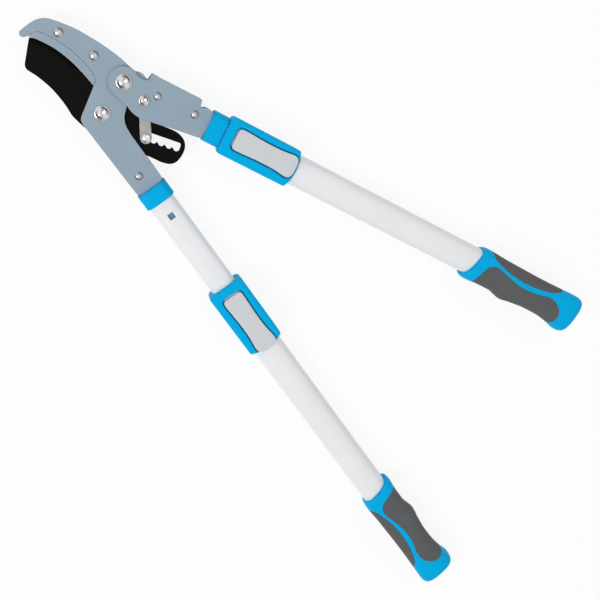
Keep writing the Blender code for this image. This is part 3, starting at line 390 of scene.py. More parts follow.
# %% Bars with rounded ends
def bar_rings(form, grow, start, end, rounding=0.0, steps=4, oval=True):
    """Sections of a form, grown all round, and drawn in a little at both ends."""
    half_w, half_h, corner, fullness = form
    rings = []
    for x, towards in ((start, 1), (end, -1)):
        group = []
        for k in range(steps + 1 if rounding else 1):
            a = math.radians(90 * k / steps) if rounding else 0
            inset = rounding * (1 - math.sin(a))
            along = x + towards * rounding * (1 - math.cos(a))
            if oval:
                ring = oval_section(half_w + grow - inset, half_h + grow - inset, fullness)
            else:
                ring = rounded_section(half_w + grow - inset, half_h + grow - inset,
                                       max(corner + grow - inset, 0.2 * mm))
            group.append([Vector((along, p.y, p.z)) for p in ring])
        rings += group if towards == 1 else group[::-1]
    return rings


wall = 1.4 * mm
outer_wall = 1.6 * mm
play = 0.6 * mm                      # between the inner and the outer tube
gap = 0.3 * mm                       # round whatever slides, turns or is pushed on
inner_half_w, inner_half_h, inner_corner = 14.3 * mm, 10.3 * mm, 7.0 * mm
outer_half_w, outer_half_h, outer_corner = (
    size + play + outer_wall for size in (inner_half_w, inner_half_h, inner_corner))
# half width, half height, corner radius and fullness of the oval
inner_form = (inner_half_w, inner_half_h, inner_corner, 2.7)
outer_form = (outer_half_w, outer_half_h, outer_corner, 2.5)
print("outer tube", [round(2 * v / mm, 1) for v in (outer_half_w, outer_half_h)], "mm")

# %% [markdown]
# ## Tubes
# A tube has an outside, an inside and two ring-shaped ends.  One loft that runs out along
# the outside, back along the inside and closes on itself gives all four.  The inner tube
# has three square windows for the lever's tooth, and the outer tube has one.  Their
# corners are rounded, as a punch leaves them.

# %% Both tubes of both arms
tube_lip = 0.25 * mm
inner_start = -15.3 * mm             # the tube's end, inside the collar
inner_end = inner_start + 335.0 * mm
outer_start = 2.8 * mm
outer_end = 358.8 * mm
first_window = 17.7 * mm


def tube(name, form, thick, start, end):
    """A tube with soft lips."""
    outside = bar_rings(form, 0.0, start, end, tube_lip, 2)
    inside = bar_rings(form, -thick, start + tube_lip, end - tube_lip, oval=False)
    return solid(name, loft(outside + [even_ring(ring) for ring in reversed(inside)],
                            ring_closed=True))


def window_tool(along, half_l, half_w):
    """A punch for one window, from the tube's hollow to above the tube."""
    plan = [Vector((along + p.y, p.z)) for p in rounded_section(half_l, half_w, 0.7 * mm, 4)]
    return solid("window_tool", prism(plan, 4 * mm, 20 * mm))


for prefix, arm in arms.items():
    inner = tube(prefix + "_inner_tube_fine", inner_form, wall, inner_start, inner_end)
    for k in range(3):
        cut(inner, window_tool(first_window + k * lock_pitch, 3.4 * mm, 3.3 * mm))
    fit(inner, tube_paint, arm["body"], [prefix + "_inner_tube"],
        arm["fixed"])
    outer = tube(prefix + "_outer_tube_fine", outer_form, outer_wall, outer_start, outer_end)
    cut(outer, window_tool(first_window, 3.9 * mm, 3.9 * mm))
    fit(outer, tube_paint, prefix + "_outer", [prefix + "_outer_tube"],
        arm["sliding"])

# %% [markdown]
# ## Collars
# A moulded collar covers the joint between the steel plates and the inner tube.  It is a
# short bar with well rounded rims, bored for the tube from one side and slotted for the
# plates from the other.

# %% Collars
collar_start = -17.1 * mm
collar_end = 0.25 * mm
collar_wall = 1.9 * mm
stop_wall = 1.5 * mm                 # between the end of the bore and the collar's end
slot_depth = 3.0 * mm
plate_slots = {"anvil_arm": (12.9 * mm, 5.6 * mm), "power_arm": (12.53 * mm, 8.9 * mm)}
for prefix, arm in arms.items():
    collar = solid(prefix + "_collar_fine",
                   loft(bar_rings(inner_form, gap + collar_wall, collar_start, collar_end,
                                  1.0 * mm, 5, oval=False)))
    cut(collar, solid("bore_tool", loft(bar_rings(inner_form, gap, collar_start + stop_wall,
                                                  5 * mm))))
    half_w, half_h = plate_slots[prefix]
    cut(collar, solid("slot_tool", block((-30 * mm, -half_w, -half_h),
                                         (collar_start + slot_depth, half_w, half_h))))
    fit(collar, blue_plastic, arm["body"], [prefix + "_collar"],
        arm["fixed"])

# %% [markdown]
# ## Clamp housing
# The housing is a moulded block with a broad soft belly, a round edge round its deck and
# a waisted opening in which the lock lever rocks.  It is lofted upwards from its plan,
# drawn in at the top for the round edge and with its head face leaning back at the foot.
# A long bar with big lower corners then trims it, which gives the belly.  The opening is
# lofted too: narrow below, so that no light comes up past the lever, and flared at the
# top, so that its rim catches the light as a moulded rim does.

# %% Rounded plans and smooth lines
def rounded_plan(corners, steps=8):
    """A closed outline with rounded corners, given as x, y and radius."""
    out = []
    for i, (x, y, radius) in enumerate(corners):
        here = Vector((x, y))
        back = Vector(corners[i - 1][:2]) - here
        ahead = Vector(corners[(i + 1) % len(corners)][:2]) - here
        half = back.angle(ahead) / 2
        most = min(back.length, ahead.length) * 0.48     # leaves room for the next corner
        reach = min(radius / math.tan(half), most)
        radius = reach * math.tan(half)
        inwards = (back.normalized() + ahead.normalized()).normalized()
        middle = here + inwards * radius / math.sin(half)
        start = here + back.normalized() * reach - middle
        turn = start.angle_signed(here + ahead.normalized() * reach - middle)
        for k in range(steps + 1):
            a = -turn * k / steps
            out.append(middle + Vector((start.x * math.cos(a) - start.y * math.sin(a),
                                        start.x * math.sin(a) + start.y * math.cos(a))))
    return out


def smooth_line(points, steps):
    """A smooth line through points, ends included."""
    out = []
    last = len(points) - 1
    for i in range(last):
        p0, p1 = points[max(i - 1, 0)], points[i]
        p2, p3 = points[i + 1], points[min(i + 2, last)]
        for k in range(steps):
            t = k / steps
            out.append(0.5 * (2 * p1 + (p2 - p0) * t
                              + (2 * p0 - 5 * p1 + 4 * p2 - p3) * t * t
                              + (3 * p1 - p0 - 3 * p2 + p3) * t ** 3))
    out.append(points[last].copy())
    return out


# %% Plans of the clamp and the lever
clamp_start = 0.5 * mm
clamp_end = clamp_start + 84.2 * mm
clamp_half_w = outer_half_w + gap + 3.45 * mm
clamp_floor = -17.0 * mm
clamp_deck = 16.8 * mm
lever_start = clamp_start + 10.8 * mm
lever_length = 69.8 * mm
lever_end = lever_start + lever_length


def clamp_plan(inset, lean=0.0):
    """The clamp from above, drawn in by the inset, its head face moved back by the lean."""
    hw = clamp_half_w - inset
    near = clamp_start + inset + lean
    far = clamp_end - inset
    shoulder = clamp_end - 4.8 * mm - inset * 0.6
    corner = max(2.8 * mm - inset, 0.8 * mm)
    return rounded_plan([(near, -hw, corner), (shoulder, -hw, 3.0 * mm),
                         (far - 1.2 * mm, -hw * 0.55, 12 * mm), (far, 0, 20 * mm),
                         (far - 1.2 * mm, hw * 0.55, 12 * mm), (shoulder, hw, 3.0 * mm),
                         (near, hw, corner)], 6)


def lever_plan(grow, head_in=0.0, tail_out=0.0, aside=0.0):
    """The lever from above, waisted in the middle and grown or drawn in all round."""
    head = 11.5 * mm + grow
    waist = 10.5 * mm + grow
    tail = 12.3 * mm + grow
    start = lever_start + head_in
    end = lever_end + tail_out
    side = smooth_line([Vector((x, y)) for x, y in (
        (start - grow, head - 4.2 * mm),
        (start - grow * 0.75 + 0.9 * mm, head - 1.5 * mm),
        (start + lever_length * 0.070, head),
        (lever_start + lever_length * 0.26, head * 0.965),
        (lever_start + lever_length * 0.47, waist),
        (lever_start + lever_length * 0.72, waist * 1.03),
        (lever_start + lever_length * 0.90 + tail_out * 0.6, tail),
        (end + grow * 0.7 - 2.8 * mm, tail * 0.92),
        (end + grow - 0.4 * mm, tail * 0.66),
        (end + grow + 0.5 * mm, tail * 0.3))], 4)
    outline = side + [Vector((p.x, -p.y)) for p in reversed(side)]
    return [Vector((p.x, p.y + aside)) for p in outline]


print("clamp", round((clamp_end - clamp_start) / mm, 1), "mm long")
print("lever", round(lever_length / mm, 1), "mm long")

# %% Clamp housings
deck_round = 3.2 * mm
foot_round = 0.6 * mm
belly_round = 14.0 * mm
face_lean = 2.8 * mm
ledge_height = clamp_deck - 3.5 * mm
ledge_slit = 0.3 * mm                # round the lever's plan, below the ledge
slit = 1.3 * mm                      # above the ledge
flare = 0.35 * mm


def housing_block(name):
    """The outside of the housing."""
    rings = [at_height(clamp_plan(foot_round, face_lean), clamp_floor),
             at_height(clamp_plan(foot_round * 0.3, face_lean),
                       clamp_floor + foot_round * 0.3),
             at_height(clamp_plan(0, face_lean), clamp_floor + foot_round)]
    for k in range(7):
        a = math.radians(90 * k / 6)
        rings.append(at_height(clamp_plan(deck_round * (1 - math.cos(a))),
                               clamp_deck - deck_round + deck_round * math.sin(a)))
    made = solid(name, loft(rings))
    side, top = clamp_half_w + gap, 30 * mm
    section = rounded_plan([(side, clamp_floor, belly_round), (side, top, 1 * mm),
                            (-side, top, 1 * mm), (-side, clamp_floor, belly_round)], 12)
    belly = [[Vector((x, p.x, p.y)) for p in section] for x in (-5 * mm, 95 * mm)]
    cut(made, solid("belly_tool", loft(belly)), "INTERSECT")
    return made


def clamp_housing(name, opening_moves, lever_moves):
    """A housing, bored for both tubes and opened for its lever."""
    made = housing_block(name)
    cut(made, solid("bore_tool", loft(bar_rings(outer_form, gap, clamp_start + 2.0 * mm,
                                                100 * mm))))
    cut(made, solid("mouth_tool", loft(bar_rings(inner_form, play, -20 * mm,
                                                 clamp_start + 3.0 * mm))))
    opening = [at_height(lever_plan(ledge_slit, 0, *lever_moves), z)
               for z in (outer_half_h - 2 * mm, ledge_height)]
    opening += [at_height(lever_plan(grow, 0, *opening_moves), z) for grow, z in (
        (slit, ledge_height + 0.05 * mm), (slit, clamp_deck - flare),
        (slit + flare, clamp_deck), (slit + flare, 30 * mm))]
    cut(made, solid("opening_tool", loft(opening)))
    return made


for prefix, arm in arms.items():
    fit(clamp_housing(prefix + "_clamp_fine", arm["opening"], arm["lever"]), blue_plastic,
        prefix + "_outer", [prefix + "_clamp_housing"], arm["sliding"])

# %% [markdown]
# ## Spring under the lever
# A bent strip of spring steel stands on the tube and reaches up to the underside of the
# lever's tail.  It is drawn as one line seen from the side, given its thickness and then
# its width.  The strip keeps its shape when the lever rocks, so the lever gets a recess
# over it: the strip's own line, raised by what the tail drops there.

# %% Lever springs
lever_top = clamp_deck + 1.5 * mm
lever_low = lever_top - 5.2 * mm
lever_pin = Vector((lever_pin_along, 0, lever_top - 3.45 * mm))
strip = 0.4 * mm
spring_foot = lever_pin.x + 8.0 * mm
spring_end = lever_end - 7.5 * mm
spring_ground = outer_half_h + gap
flat_end = lever_pin.x + 4 * mm      # the lever's underside rises from here to its tail
tail_slope = 2.6 * mm / (lever_end + 5 * mm - flat_end)
spring_crest = lever_low + tail_slope * (spring_end - flat_end) - gap - strip


def moved_aside(line, distance):
    """A line moved to its left."""
    out = []
    for i, p in enumerate(line):
        run = (line[min(i + 1, len(line) - 1)] - line[max(i - 1, 0)]).normalized()
        out.append(p + Vector((-run.y, run.x)) * distance)
    return out


spring_line = smooth_line([Vector((x, z)) for x, z in (
    (spring_foot, spring_ground), (spring_foot + 3 * mm, spring_ground),
    (spring_foot + 7 * mm, spring_ground + (spring_crest - spring_ground) * 0.25),
    (spring_end - 3 * mm, spring_crest - 0.25 * mm), (spring_end, spring_crest),
    (spring_end + 2.5 * mm, spring_crest - 0.6 * mm))], 6)
spring_top = moved_aside(spring_line, strip)
for prefix, arm in arms.items():
    rings = [[Vector((p.x, y, p.y)) for p in spring_line + spring_top[::-1]]
             for y in (-4 * mm, 4 * mm)]
    fit(solid(prefix + "_lever_spring_fine", loft(rings)), spring_steel, prefix + "_outer",
        [prefix + "_lever_spring"], arm["sliding"])

# %% [markdown]
# ## Lock lever
# The lever is a flat paddle hung on a cross pin.  Pressing its wide tail lifts a square
# tooth out of a window in the inner tube.  Its top is very slightly crowned, and its
# underside rises towards both ends to leave room for the rocking.  It is lofted upwards
# like the housing, trimmed by its own side view with the tooth hanging from it, and then
# gets an eye for the pin and a recess for the spring.

# %% The lever's underside
lever_swing = math.radians(4.0)
tooth_half = 2.7 * mm
tooth_tip = inner_half_h + gap


def side_prism(outline, half_w):
    """A prism across the arm over an outline of x and z."""
    return loft([[Vector((x, y, z)) for x, z in outline] for y in (-half_w, half_w)])


def flank_and_tooth():
    """The lever's side view, open at the top, and the square tooth under it."""
    above = lever_top + 5 * mm
    front, back = lever_start - 5 * mm, lever_end + 5 * mm
    flank = solid("flank_tool", side_prism([
        (front, above), (front, lever_low + 2.6 * mm),
        (lever_pin.x - 4 * mm, lever_low), (flat_end, lever_low),
        (lever_end - 4 * mm, lever_low + 1.97 * mm), (back, lever_low + 4.2 * mm),
        (back, above)], 30 * mm))
    cut(flank, solid("tooth", block(
        (first_window - tooth_half, -tooth_half, tooth_tip),
        (first_window + tooth_half, tooth_half, lever_top - 1.5 * mm))), "UNION")
    return flank


def spring_recess():
    """Room in the lever's underside, over the spring at the lever's lowest place."""
    drop = math.sin(lever_swing)
    roof = [(p.x, p.y + (p.x - lever_pin.x) * drop + gap) for p in spring_top]
    below = lever_low - 4 * mm
    front, back = roof[0][0] - 1.0 * mm, roof[-1][0] + 1.2 * mm
    return side_prism([(front, below), (front, roof[0][1])] + roof[1:]
                      + [(back, roof[-1][1]), (back, below)], 4.6 * mm)


# %% Lock levers and their pins
lever_trim = 0.15 * mm               # slimmer than its plan by this
lever_head_in = 0.5 * mm
lever_edge = 1.1 * mm                # the radius of its upper edge
lever_crown = 0.25 * mm
pin_radius = 1.0 * mm
across_arm = Matrix.Translation(lever_pin) @ Matrix.Rotation(math.radians(90), 4, "X")


def lock_lever(name, tail_out, aside):
    """A lever with a rounded upper edge and a slight crown."""
    levels = [(lever_trim, tooth_tip - gap)]
    for k in range(6):
        a = math.radians(90 * k / 5)
        levels.append((lever_trim + lever_edge * (1 - math.cos(a)),
                       lever_top - lever_crown - lever_edge * (1 - math.sin(a))))
    levels += [(3.5 * mm, lever_top - 0.08 * mm), (6.5 * mm, lever_top)]
    made = solid(name, loft([at_height(lever_plan(-inset, lever_head_in, tail_out, aside), z)
                             for inset, z in levels]))
    cut(made, flank_and_tooth(), "INTERSECT")
    cut(made, solid("eye_tool", round_bar(pin_radius + gap, 60 * mm, 24, across_arm)))
    cut(made, solid("recess_tool", spring_recess()))
    return made


for prefix, arm in arms.items():
    fit(lock_lever(prefix + "_lever_fine", *arm["lever"]), lever_plastic, prefix + "_lever",
        [prefix + "_lever"], arm["sliding"])
    pin = round_bar(pin_radius, 35 * mm, 32, across_arm)
    rims = [e for e in pin.edges if e.calc_face_angle(0) > 1]
    bmesh.ops.bevel(pin, geom=rims, offset=0.15 * mm, segments=2, profile=0.5,
                    affect="EDGES", material=-1)
    # the pin's near black colour is painted shade for the slit it lies in
    fit(solid(prefix + "_lever_pin_fine", pin), pin_painted_shade_finish, prefix + "_outer",
        [prefix + "_lever_pin"], arm["sliding"])

# %% [markdown]
# ## Grips
# A hard blue shell carries two rubber inlays: a long one along the back and a broad one
# under the fingers.  The form swells behind the slanted mouth, dips, swells under the
# middle finger and flares at the butt.  The sections are squared ovals, between an
# ellipse and a rounded box, because a hand turns less on a squarish handle.  Every
# section is given by how far it stands out on both sides of the tube, and a smooth line
# through those few stations gives some seventy sections.

# %% Sections of the grip
grip_mouth = 320.5 * mm
grip_length = 152.0 * mm
grip_stretch = grip_length / (154.0 * mm)    # the stations are drawn for 154 mm
grip_fullness = 2.8
# along, outer swell, finger swell, height share, slant, saddle
stations = [(0.0, 0.9, 2.6, 0.93, 0.26, 2.4), (3.0, 3.0, 4.6, 0.985, 0.26, 2.4),
            (8.0, 3.8, 5.4, 1.0, 0.21, 1.7), (17.0, 3.5, 4.4, 0.99, 0.14, 0.8),
            (35.0, 2.6, 4.3, 0.97, 0.0, 0.0), (46.0, 2.3, 6.5, 0.965, 0.0, 0.0),
            (53.5, 2.1, 8.1, 0.965, 0.0, 0.0), (63.0, 1.9, 6.7, 0.955, 0.0, 0.0),
            (88.0, 1.5, 4.7, 0.93, 0.0, 0.0), (110.0, 1.6, 5.3, 0.945, 0.0, 0.0),
            (127.0, 2.1, 7.8, 0.985, 0.03, 0.0), (140.0, 2.4, 10.8, 1.0, 0.06, 0.0),
            (148.0, 1.0, 9.1, 0.90, 0.10, 0.0), (152.6, -5.5, 1.5, 0.50, 0.12, 0.0)]


def slopes(a, b, c, d):
    """How steeply a line through four values runs at b and at c; level where it turns."""
    at_b, at_c = (c - a) * 0.5, (d - b) * 0.5
    if (b - a) * (c - b) < 0 or (c - b) * (d - c) < 0:
        at_b = at_b if (b - a) * (c - b) > 0 else 0.0
        at_c = at_c if (c - b) * (d - c) > 0 else 0.0
    return at_b, at_c


def between_stations(steps=5, butt_steps=10):
    """The stations and smooth values between them; the last step rounds into the butt."""
    fine = []
    last = len(stations) - 1
    for i in range(last):
        four = [stations[max(i - 1, 0)], stations[i], stations[i + 1],
                stations[min(i + 2, last)]]
        butt = i == last - 1
        count = butt_steps if butt else steps
        for k in range(count):
            t = math.sin(math.pi / 2 * k / count) if butt else k / count
            row = [four[1][0] + (four[2][0] - four[1][0]) * t]
            for a, b, c, d in list(zip(*four))[1:]:
                at_b, at_c = slopes(a, b, c, d)
                if butt:
                    row.append(b + at_b * t + (c - b - at_b) * (1 - math.sqrt(1 - t * t)))
                else:
                    row.append(b + at_b * t + (3 * (c - b) - 2 * at_b - at_c) * t * t
                               + (2 * (b - c) + at_b + at_c) * t ** 3)
            fine.append(row)
    fine.append(list(stations[last]))
    return fine


def grip_rings(skin, points=64):
    """Sections of the grip from mouth to butt, drawn in by the skin; fingers at -y."""
    turns = [2 * math.pi * (k + 0.5) / points for k in range(points)]
    rings = []
    for along, outer, finger, tall, slant, saddle in between_stations():
        out = outer_half_w + outer * mm - skin
        into = outer_half_w + finger * mm - skin
        ring = []
        for a in turns:
            across = squared(math.cos(a), grip_fullness)
            up = squared(math.sin(a), grip_fullness)
            y = (out - into) / 2 + (out + into) / 2 * across
            x = along * mm * grip_stretch + slant * y - saddle * mm * across * across
            ring.append(Vector((x, y, (-clamp_floor * tall - skin) * up)))
        rings.append(ring)
    return rings


print("grip sections:", len(grip_rings(0)))

# %% [markdown]
# The inlays are cut out of the same form: a prism over the inlay's plan keeps the patch,
# and a slightly smaller copy of the grip takes away its inside.  The shell loses the same
# patch with a hair of room all round, which shows as the fine parting line.

# %% Shell and inlays, made once and set on both arms
back_edge = [(12.4, 27.0), (13.6, 20.8), (18.4, 14.6), (31.0, 10.2), (45.5, 6.9), (65.5, 5.5),
             (84.5, 6.4), (102.5, 9.6), (114.0, 14.0), (122.5, 20.5), (125.0, 27.0)]
finger_edge = [(6.2, -32.0), (7.0, -20.0), (9.6, -8.0), (13.6, 1.2), (20.2, 5.9),
               (27.5, 6.6), (39.3, 3.9), (56.0, 0.2), (72.2, -0.9), (88.5, 0.8),
               (102.5, 3.6), (114.4, 1.8), (122.4, -4.2), (125.8, -11.5), (125.6, -18.5),
               (122.4, -25.0), (120.0, -32.0)]
inlay_depth = 1.1 * mm
part_line = 0.22 * mm
bore_end = 38.6 * mm                 # the grip is solid behind this


def inlay_prism(edge, grow):
    """A prism over the plan of an inlay, its edge moved outwards by the growth."""
    line = smooth_line([Vector((x * mm * grip_stretch, y * mm)) for x, y in edge], 6)
    return solid("inlay_prism", prism(moved_aside(line, grow), -30 * mm, 30 * mm))


def make_grip():
    """The shell and both inlays, with the grip's mouth at zero."""
    shell = solid("grip_shell", loft(grip_rings(0)))
    made = {"shell": shell}
    for label, edge, outwards in (("back_inlay", back_edge, -1),
                                  ("finger_inlay", finger_edge, 1)):
        pocket = inlay_prism(edge, outwards * part_line)
        cut(pocket, solid("core", loft(grip_rings(inlay_depth))))
        cut(shell, pocket)
        pad = inlay_prism(edge, 0.0)
        cut(pad, solid("form", loft(grip_rings(0))), "INTERSECT")
        cut(pad, solid("bed", loft(grip_rings(inlay_depth - part_line))))
        made[label] = pad
    cut(shell, solid("bore_tool", loft(bar_rings(outer_form, gap, -40 * mm, bore_end))))
    return made


grip = make_grip()
for prefix, arm in arms.items():
    place = arm["sliding"] @ Matrix.Translation((grip_mouth, 0, 0))
    for label, source in grip.items():
        slot_name = "blue_plastic" if label == "shell" else "grip_rubber"
        node = "%s_grip_%s" % (prefix, label)
        piece = bpy.data.objects.new(node + "_fine", source.data.copy())
        scene.collection.objects.link(piece)
        fit(piece, by_slot[slot_name], prefix + "_outer", [node], place,
            mirrored=arm["mirrored_grip"])
for source in grip.values():
    bpy.data.objects.remove(source)

# %% [markdown]
# ## Steel plates
# The head is laser-cut plate with its edges broken before painting.  The frame already
# has the right outlines, only with short straight facets.  Cutting a merged copy of a
# node with a level plane gives those outlines back as loops.  A smooth curve through each
# loop, with its real corners kept, is then filled as a flat curve object, whose bevel
# rounds the edges of the outside and of every hole in one go.

# %% Outlines from the frame
def outlines(node, height):
    """Closed outlines, points in order, where a level plane cuts a CAD node."""
    bm = bmesh.new()
    bm.from_mesh(frame["nodes"][node].data)
    bmesh.ops.remove_doubles(bm, verts=bm.verts[:], dist=1e-6)
    bmesh.ops.bisect_plane(bm, geom=bm.verts[:] + bm.edges[:] + bm.faces[:], dist=1e-7,
                           plane_co=(0, 0, main_pivot.z + height), plane_no=(0, 0, 1),
                           clear_inner=True, clear_outer=True)
    left = dict.fromkeys(bm.verts)
    loops = []
    while left:
        here = next(iter(left))
        loop = []
        while here:
            del left[here]
            loop.append(here.co.xy.copy())
            ahead = [e.other_vert(here) for e in here.link_edges]
            here = next((v for v in ahead if v in left), None)
        loops.append(loop)
    bm.free()
    return loops


print("head plate outline:", len(outlines("head_plate_front", 3.8 * mm)[0]), "points")

# %% The same outlines made smooth
facet = math.radians(0.4)            # a smaller bend counts as straight
corner_bend = math.radians(31)       # a sharper bend stays a corner
spacing = 1.0 * mm
long_run = 2.6                       # beside an edge this much longer, a line is straight


def without_straights(loop):
    """The points of a closed loop at which it bends."""
    points = []
    for i, p in enumerate(loop):
        back = p - loop[i - 1]
        ahead = loop[(i + 1) % len(loop)] - p
        if min(back.length, ahead.length) > 1e-6 and back.angle(ahead) > facet:
            points.append(p)
    return points


def directions(points):
    """The directions in which a smooth line arrives at and leaves each point."""
    arriving, leaving = [], []
    for i, p in enumerate(points):
        back = p - points[i - 1]
        ahead = points[(i + 1) % len(points)] - p
        if back.angle(ahead) > corner_bend:
            arriving.append(back.normalized())
            leaving.append(ahead.normalized())
            continue
        if max(back.length, ahead.length) > long_run * min(back.length, ahead.length):
            run = back if back.length > ahead.length else ahead
        else:
            run = back.normalized() * ahead.length + ahead.normalized() * back.length
        arriving.append(run.normalized())
        leaving.append(run.normalized())
    return arriving, leaving


def fair(loop):
    """Drops points on straight runs, keeps corners and draws smooth arcs between."""
    points = without_straights(loop)
    arriving, leaving = directions(points)
    smooth = []
    for i, p in enumerate(points):
        after = (i + 1) % len(points)
        q = points[after]
        span = (q - p).length
        out_of, into = leaving[i] * span, arriving[after] * span
        bent = max(out_of.angle(q - p), into.angle(q - p)) > math.radians(0.5)
        steps = max(1, math.ceil(span / spacing)) if bent else 1
        for k in range(steps):
            t = k / steps
            smooth.append(p * (2 * t ** 3 - 3 * t * t + 1)
                          + out_of * (t ** 3 - 2 * t * t + t)
                          + q * (3 * t * t - 2 * t ** 3) + into * (t ** 3 - t * t))
    return smooth


# %% Fill an outline as a flat curve with rounded edges
def flat_piece(name, loops, low, high, rounding, inset=0.0):
    """A plate between two heights over the main pivot, all its edges rounded."""
    curve = bpy.data.curves.new(name, "CURVE")
    curve.dimensions = "2D"
    curve.fill_mode = "BOTH"
    curve.bevel_depth = rounding
    curve.bevel_resolution = 2
    curve.offset = -rounding - inset
    curve.extrude = (high - low) / 2 - rounding
    for loop in loops:
        spline = curve.splines.new("POLY")
        spline.points.add(len(loop) - 1)
        for dot, p in zip(spline.points, loop):
            dot.co = (p.x, p.y, 0, 1)
        spline.use_cyclic_u = True
    flat = bpy.data.objects.new(name, curve)
    scene.collection.objects.link(flat)
    graph = bpy.context.evaluated_depsgraph_get()
    mesh = bpy.data.meshes.new_from_object(flat.evaluated_get(graph))
    bpy.data.objects.remove(flat)
    bm = bmesh.new()
    bm.from_mesh(mesh)
    bmesh.ops.remove_doubles(bm, verts=bm.verts[:], dist=2e-6)
    bmesh.ops.recalc_face_normals(bm, faces=bm.faces[:])
    bm.transform(Matrix.Translation((0, 0, main_pivot.z + (low + high) / 2)))
    open_edges = sum(1 for e in bm.edges if len(e.link_faces) != 2)
    print(name, "loops", len(loops), "open edges", open_edges)
    return solid(name, bm)


# %% Plates of the head, of the moving arm and of the link
head_low, head_high = 2.3 * mm, 5.3 * mm
link_high = 4.8 * mm
power_low, power_high = 5.4 * mm, 8.6 * mm
for name, body, low, high, slot_name, rounding in (
        ("head_plate", "head", head_low, head_high, "plate_paint", 0.35 * mm),
        ("power_plate", "power_arm", power_low, power_high, "plate_paint", 0.2 * mm),
        ("link", "link", head_low, link_high, "link_steel", 0.3 * mm)):
    for end, sign in (("front", 1), ("rear", -1)):
        node = name + "_" + end
        bottom, top = sorted((sign * low, sign * high))
        loops = [fair(loop) for loop in outlines(node, (bottom + top) / 2)]
        fit(flat_piece(node + "_fine", loops, bottom, top, rounding, inset=0.02 * mm),
            by_slot[slot_name], body, [node])

# %% Anvil: a flange under the plates and a web between them
web_half = 2.0 * mm
flange_loops = [fair(loop) for loop in outlines("anvil", 3.8 * mm)]
web_loops = [fair(loop) for loop in outlines("anvil", 0.5 * mm)]
flange = flat_piece("anvil_fine", flange_loops, -head_high, head_high, 0.5 * mm,
                    inset=-0.2 * mm)
web = flat_piece("web", web_loops, -web_half, web_half, 0.2 * mm, inset=0.06 * mm)
cut(flange, web, "UNION")
fit(flange, plate_paint, "head", ["anvil"])

# %% [markdown]
# ## Blade
# The blade is a 4 mm plate, coated black.  Its cutting edge is ground from both sides, its
# back edge is only broken, and its tail carries the ratchet: a slot with five round
# notches, each with a steep outer wall and a sloping way out.  A flat curve can't be
# ground on one side alone, so the blade is lofted through six levels, each with its own
# inset along the cutting edge.

# %% The blade's outline, from the main pivot
def curve_through(points, steps=5):
    """A smooth line through points given in millimetres."""
    return smooth_line([Vector((x * mm, y * mm)) for x, y in points], steps)


anvil_face = curve_through([
    (-83.0, -48.0), (-77.5, -43.6), (-68.2, -38.2), (-58.0, -33.6), (-46.1, -30.1),
    (-35.1, -28.0), (-24.2, -26.7), (-13.9, -25.7)], 6)
cutting_edge = moved_aside(anvil_face, -gap)[3:-6]
cutting_edge[0] = Vector((-82.4 * mm, -48.5 * mm))
tail = curve_through([
    (-12.0, -26.1), (-6.0, -24.3), (2.0, -19.5), (10.0, -13.0), (19.0, -8.0), (28.0, -7.0),
    (37.1, -5.8), (47.0, -1.4), (56.4, 5.5), (62.4, 9.6), (68.2, 13.1), (72.5, 14.9),
    (77.5, 15.6), (82.6, 14.8), (87.4, 11.7), (90.9, 6.9), (93.2, 1.2), (94.1, -4.3),
    (92.2, -10.2), (86.4, -15.8), (79.0, -20.0), (71.8, -24.4), (62.0, -32.0),
    (50.0, -41.0), (36.0, -49.5), (22.0, -55.4)])
spine = curve_through([
    (11.2, -58.3), (4.5, -59.5), (-1.9, -60.3), (-8.0, -59.8), (-14.9, -59.4),
    (-25.6, -59.7), (-35.0, -60.8), (-43.4, -62.7), (-51.2, -65.0), (-58.6, -68.0),
    (-61.0, -68.47), (-63.6, -67.9), (-65.6, -66.6)])


def to_the_right(line, i):
    """The direction to the right of a line at one of its points."""
    run = line[min(i + 1, len(line) - 1)] - line[max(i - 1, 0)]
    return Vector((run.y, -run.x)).normalized()


def blade_level(z, grind, broken):
    """The outline at one level: drawn in by the grind at the edge, broken elsewhere."""
    count = len(cutting_edge)
    fading_points = 15
    ring = []
    for i, p in enumerate(cutting_edge):
        inward = to_the_right(cutting_edge, i)
        if i == 0:
            inward = (spine[-1] - p).normalized()
        fade = min(1.0, (count - i) / fading_points)
        ring.append(p + inward * grind * fade * fade * (3 - 2 * fade))
    back = tail + spine
    for i, p in enumerate(back):
        fade = min(1.0, i / 4, (len(back) - 1 - i) / 2)
        ring.append(p + to_the_right(back, i) * broken * fade)
    return at_height(ring, z)


# %% Slot with its notches
first_notch = Vector((57.3 * mm, -14.3 * mm))
slot_angle = math.radians(35.7)
notch_pitch = 8.0 * mm
notch_radius = 3.15 * mm
slot_height = 6.3 * mm
slot_round = slot_height * 0.42


def slot_arc(u, v, radius, degrees):
    """An arc in the slot's own directions: u along the notches, v up from them."""
    out = []
    for a in degrees:
        p = Vector((u + radius * math.cos(math.radians(a)),
                    v + radius * math.sin(math.radians(a))))
        out.append(first_notch + Vector((
            p.x * math.cos(slot_angle) - p.y * math.sin(slot_angle),
            p.x * math.sin(slot_angle) + p.y * math.cos(slot_angle))))
    return out


slot_line = slot_arc(0, 0, notch_radius, [180])
for k in range(5):
    slot_line += slot_arc(k * notch_pitch, 0, notch_radius, range(-150, -4, 12))
for centre, start in ((4 * notch_pitch + notch_radius - slot_round, 0),
                      (slot_round - notch_radius, 90)):
    slot_line += slot_arc(centre, slot_height - slot_round, slot_round,
                          range(start, start + 91, 10))
print("slot:", len(slot_line), "points")

